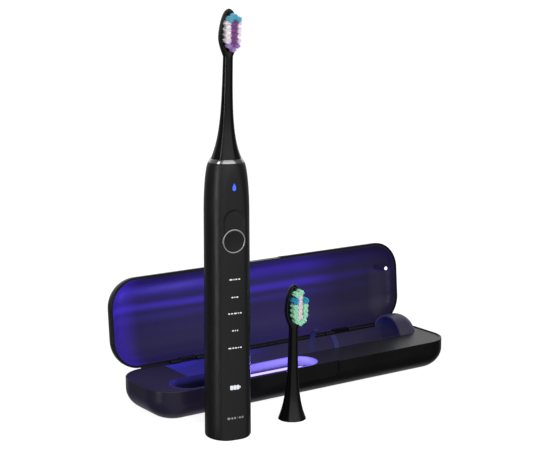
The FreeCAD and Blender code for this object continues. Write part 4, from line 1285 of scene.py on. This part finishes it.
# ---------------------------------------------------------------- case
@dataclass
class Case:
    """The charging case: the light in its bays and the bead along its hinge."""

    # The lamp under the window: its share of the window's length and width, and its gap above it.
    lamp_power: float = 0.05
    lamp_length: float = 0.9
    lamp_width: float = 0.8
    lamp_gap: float = 0.5
    # The two lamps along the handle's bay.
    bay_power: float = 0.006
    bay_lamp_length: float = 30.0
    bay_lamp_width: float = 3.0
    bay_lamp_y: float = 12.6
    bay_lamp_z: float = 4.5
    # The bead, which leaves out the two knuckles and stops before the case's rounded corners.
    bead_radius: float = 0.45
    bead_gap: float = 0.2
    knuckle_reach: float = 13.3
    straight: float = 96.0

    def hinge_bead(self) -> bpy.types.Object:
        """The thin rubber bead that closes the gap between the two halves beside the knuckles."""
        line = middle_of("hinge_pins") / MM
        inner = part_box("hinge_pins")[1].x / MM
        start, middle = inner + self.bead_gap, inner - 2 * self.knuckle_reach
        runs = []
        for ends in ((-self.straight, -start), (-middle, middle), (start, self.straight)):
            runs.append(loft([[(x, line.y + across, line.z + up)
                               for across, up, _ in ring(self.bead_radius, 0.0, 12)]
                              for x in ends]))
        return new_piece("hinge_bead", together(runs), RUBBER, 40.0)

    def build(self) -> None:
        """Light the UV bay, the handle bay and the lid from inside the case."""
        upwards = Matrix.Rotation(math.pi, 4, "X")
        low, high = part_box("uv_window")
        middle = middle_of("uv_window")
        size = ((high.x - low.x) * self.lamp_length, (high.y - low.y) * self.lamp_width)
        place = Matrix.Translation((middle.x, middle.y, high.z + self.lamp_gap * MM))
        lamps = [area_light("uv_bay_lamp", size, place @ upwards, self.lamp_power, "#8c7cff")]
        size = (self.bay_lamp_length * MM, self.bay_lamp_width * MM)
        low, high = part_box("handle_trough")
        for name, share in (("bay_lamp_left", 0.16), ("bay_lamp_middle", 0.62)):
            place = Matrix.Translation((low.x + (high.x - low.x) * share, self.bay_lamp_y * MM,
                                        self.bay_lamp_z * MM))
            lamps.append(area_light(name, size, place @ upwards, self.bay_power, "#3a34ff"))
        for lamp in lamps:
            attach(lamp, "case")
        bead = self.hinge_bead()
        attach(bead, "case")
        LOG.info("case: three lamps and %s", bead.name)


# ---------------------------------------------------------------- studio
@dataclass
class Studio:
    """Pale floor and backdrop, soft boxes and the camera. Places of lights are in metres."""

    camera_place: Place = (-516.55, -724.43, 272.93)
    yaw: float = 34.80
    pitch: float = 10.538
    lens: float = 92.12
    aim: Place = (0.0, 0.0, 0.08)
    air: float = 0.8
    paper_glow: float = 0.9
    lowest: float = -0.3
    # Brightness of the walls once round from -X, and of the air from below to overhead.
    walls: Stops = (
        (0.0, "#6a6a6a"), (0.07, "#6a6a6a"), (0.11, "#f0f0f0"), (0.31, "#f0f0f0"),
        (0.36, "#5c5c5c"), (0.50, "#5c5c5c"), (0.58, "#ffffff"), (0.72, "#ffffff"),
        (0.78, "#d0d0d0"), (0.83, "#787878"), (0.95, "#5a5a5a"), (1.0, "#6a6a6a"))
    rise: Stops = ((0.0, "#a0a0a0"), (0.17, "#acacac"), (0.26, "#f0f0f0"), (0.6, "#ffffff"),
                   (1.0, "#b0b0b0"))
    # The backdrop's radii and heights, from the middle of the floor outwards.
    sweep: tuple[tuple[float, float], ...] = (
        (0.5, 0.0), (600.0, 0.0), (1600.0, 0.0), (2000.0, 60.0), (2300.0, 240.0), (2460.0, 600.0),
        (2500.0, 1200.0), (2500.0, 2600.0))
    sweep_columns: int = 96

    def camera(self) -> None:
        """A long lens, a little above the object and to its left."""
        data = bpy.data.cameras.new("camera")
        data.lens = self.lens
        data.sensor_width = 36.0
        data.clip_start, data.clip_end = 0.05, 20.0
        camera = bpy.data.objects.new("camera", data)
        camera.location = [c * MM for c in self.camera_place]
        camera.rotation_euler = (math.radians(90 - self.pitch), 0.0, math.radians(-self.yaw))
        bpy.context.scene.collection.objects.link(camera)
        bpy.context.scene.camera = camera

    def backdrop(self) -> None:
        """One pale sheet that is the floor and curves up behind, the same all round."""
        points, faces = loft([ring(radius, z, self.sweep_columns) for radius, z in self.sweep],
                             capped=False)
        faces.append(tuple(range(self.sweep_columns)))
        paper = Finish("paper_backdrop_white", "#8a8a8a", 0.9, glow="#ffffff",
                       glow_strength=self.paper_glow)
        sheet = new_piece("backdrop", (points, faces), paper, 60.0)
        sheet.visible_glossy = sheet.visible_diffuse = sheet.visible_shadow = False
        sheet.data.materials[0].cycles.emission_sampling = "NONE"

    def surroundings(self) -> None:
        """Light from all round: pale walls, dark flags between them, a dimmer table below."""
        world = bpy.data.worlds.new("studio_air")
        world.use_nodes = True
        tree = world.node_tree
        tree.nodes.clear()
        place = add_node(tree, Shader.PLACE).outputs["Generated"]
        split = add_node(tree, Shader.SPLIT, links={"Vector": place})
        turn = add_node(tree, Shader.MATHS, links={0: split.outputs["Y"], 1: split.outputs["X"]},
                        operation="ARCTAN2")
        walls = colours_along(tree, turn.outputs["Value"], (-math.pi, math.pi), self.walls)
        rise = colours_along(tree, split.outputs["Z"], (self.lowest, 1.0), self.rise)
        both = add_node(tree, Shader.MIX, {0: 1.0}, {6: walls, 7: rise},
                        data_type="RGBA", blend_type="MULTIPLY")
        sky = add_node(tree, Shader.SKY, {"Strength": self.air}, {"Color": both.outputs[2]})
        add_node(tree, Shader.WORLD, links={"Surface": sky.outputs["Background"]})
        bpy.context.scene.world = world

    def soft_box(self, name: str, place: Place, size: tuple[float, float], power: float,
                 mirrored: bool = True) -> None:
        """One soft box that faces the object.

        Args:
            name: its name.
            place: its middle in metres.
            size: its width and height in metres.
            power: watts.
            mirrored: whether shiny surfaces show it.
        """
        facing = (Vector(self.aim) - Vector(place)).to_track_quat("-Z", "Y")
        axes = Matrix.Translation(place) @ facing.to_matrix().to_4x4()
        light = area_light(name, size, axes, power)
        light.visible_glossy = mirrored

    def build(self) -> None:
        """Set up the camera, the backdrop and the lights."""
        bpy.context.scene.view_settings.view_transform = "Standard"
        self.camera()
        self.backdrop()
        self.surroundings()
        self.soft_box("box_left", (-1.6, -0.2, 0.35), (0.18, 1.6), 4.6)
        self.soft_box("box_top", (0.1, 0.25, 1.6), (1.4, 0.8), 5.0)
        self.soft_box("box_fill", (-0.5, -1.6, 0.75), (0.9, 0.9), 55.0, mirrored=False)
        LOG.info("studio: camera, backdrop, walls and three soft boxes")


# ---------------------------------------------------------------- putting it together
def dress_nodes(frame: dict) -> None:
    """Give every CAD node the finish of its material slot.
    """
    slots = {part["node"]: part["material_slot"] for part in frame["record"]["subparts"]}
    for name, node in frame["nodes"].items():
        finish = NODE_FINISH.get(name) or SLOT_FINISH[slots[name]]
        node.data.materials.clear()
        node.data.materials.append(finish.make())
    LOG.info("dressed %d nodes", len(slots))


def main() -> None:
    """Build the whole scene in order."""
    logging.basicConfig(level=logging.INFO, format="%(message)s")
    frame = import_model()
    dress_nodes(frame)
    Studio().build()
    Case().build()

    joints = {joint["name"]: joint for joint in frame["joints"]}
    inward = joints["button_press"]["axis"]
    foot = joints["shaft_swing"]["pos_m"]
    turn = math.atan2(-inward[0], inward[1])
    Handle(Stand(foot[0], foot[1], 0.0, turn)).build()

    skirt_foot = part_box("head_shell")[0].z
    BrushHead(Stand(foot[0], foot[1], skirt_foot, turn), 3.8, "brush_head", frame["nodes"]).build(
        Tufts("tufts_blue", "bristle_blue", BRISTLE_BLUE, BRISTLE_TIP_TEAL, BRISTLE_SHADE_TEAL,
              gather=0.56),
        Tufts("tufts_white", "bristle_white", BRISTLE_WHITE, BRISTLE_WHITE, BRISTLE_SHADE_GREY,
              gather=0.72),
        Tufts("tufts_purple", "bristle_purple", BRISTLE_PURPLE, BRISTLE_PURPLE, BRISTLE_SHADE_PLUM,
              splay=0.02),
        Tufts("tufts_lilac", "bristle_lilac", BRISTLE_LILAC, BRISTLE_TIP_PLUM, BRISTLE_SHADE_PLUM,
              gather=0.54))

    spare = middle_of("spare_head_socket")
    row = middle_of("spare_tufts_white") - spare
    spare_stand = Stand(spare.x, spare.y, 0.0, math.atan2(row.x, -row.y))
    BrushHead(spare_stand, 1.5, "spare_head", frame["nodes"], "spare_").build(
        Tufts("spare_tufts_mint", "bristle_mint", BRISTLE_MINT, BRISTLE_MINT, BRISTLE_SHADE_GREEN,
              gather=0.58),
        Tufts("spare_tufts_teal", "bristle_teal", BRISTLE_TEAL, BRISTLE_TEAL, BRISTLE_SHADE_TEAL,
              gather=0.58),
        Tufts("spare_tufts_white", "bristle_white", BRISTLE_ROSE, BRISTLE_ROSE, BRISTLE_SHADE_GREEN,
              gather=0.6))


if __name__ == "__main__":
    main()
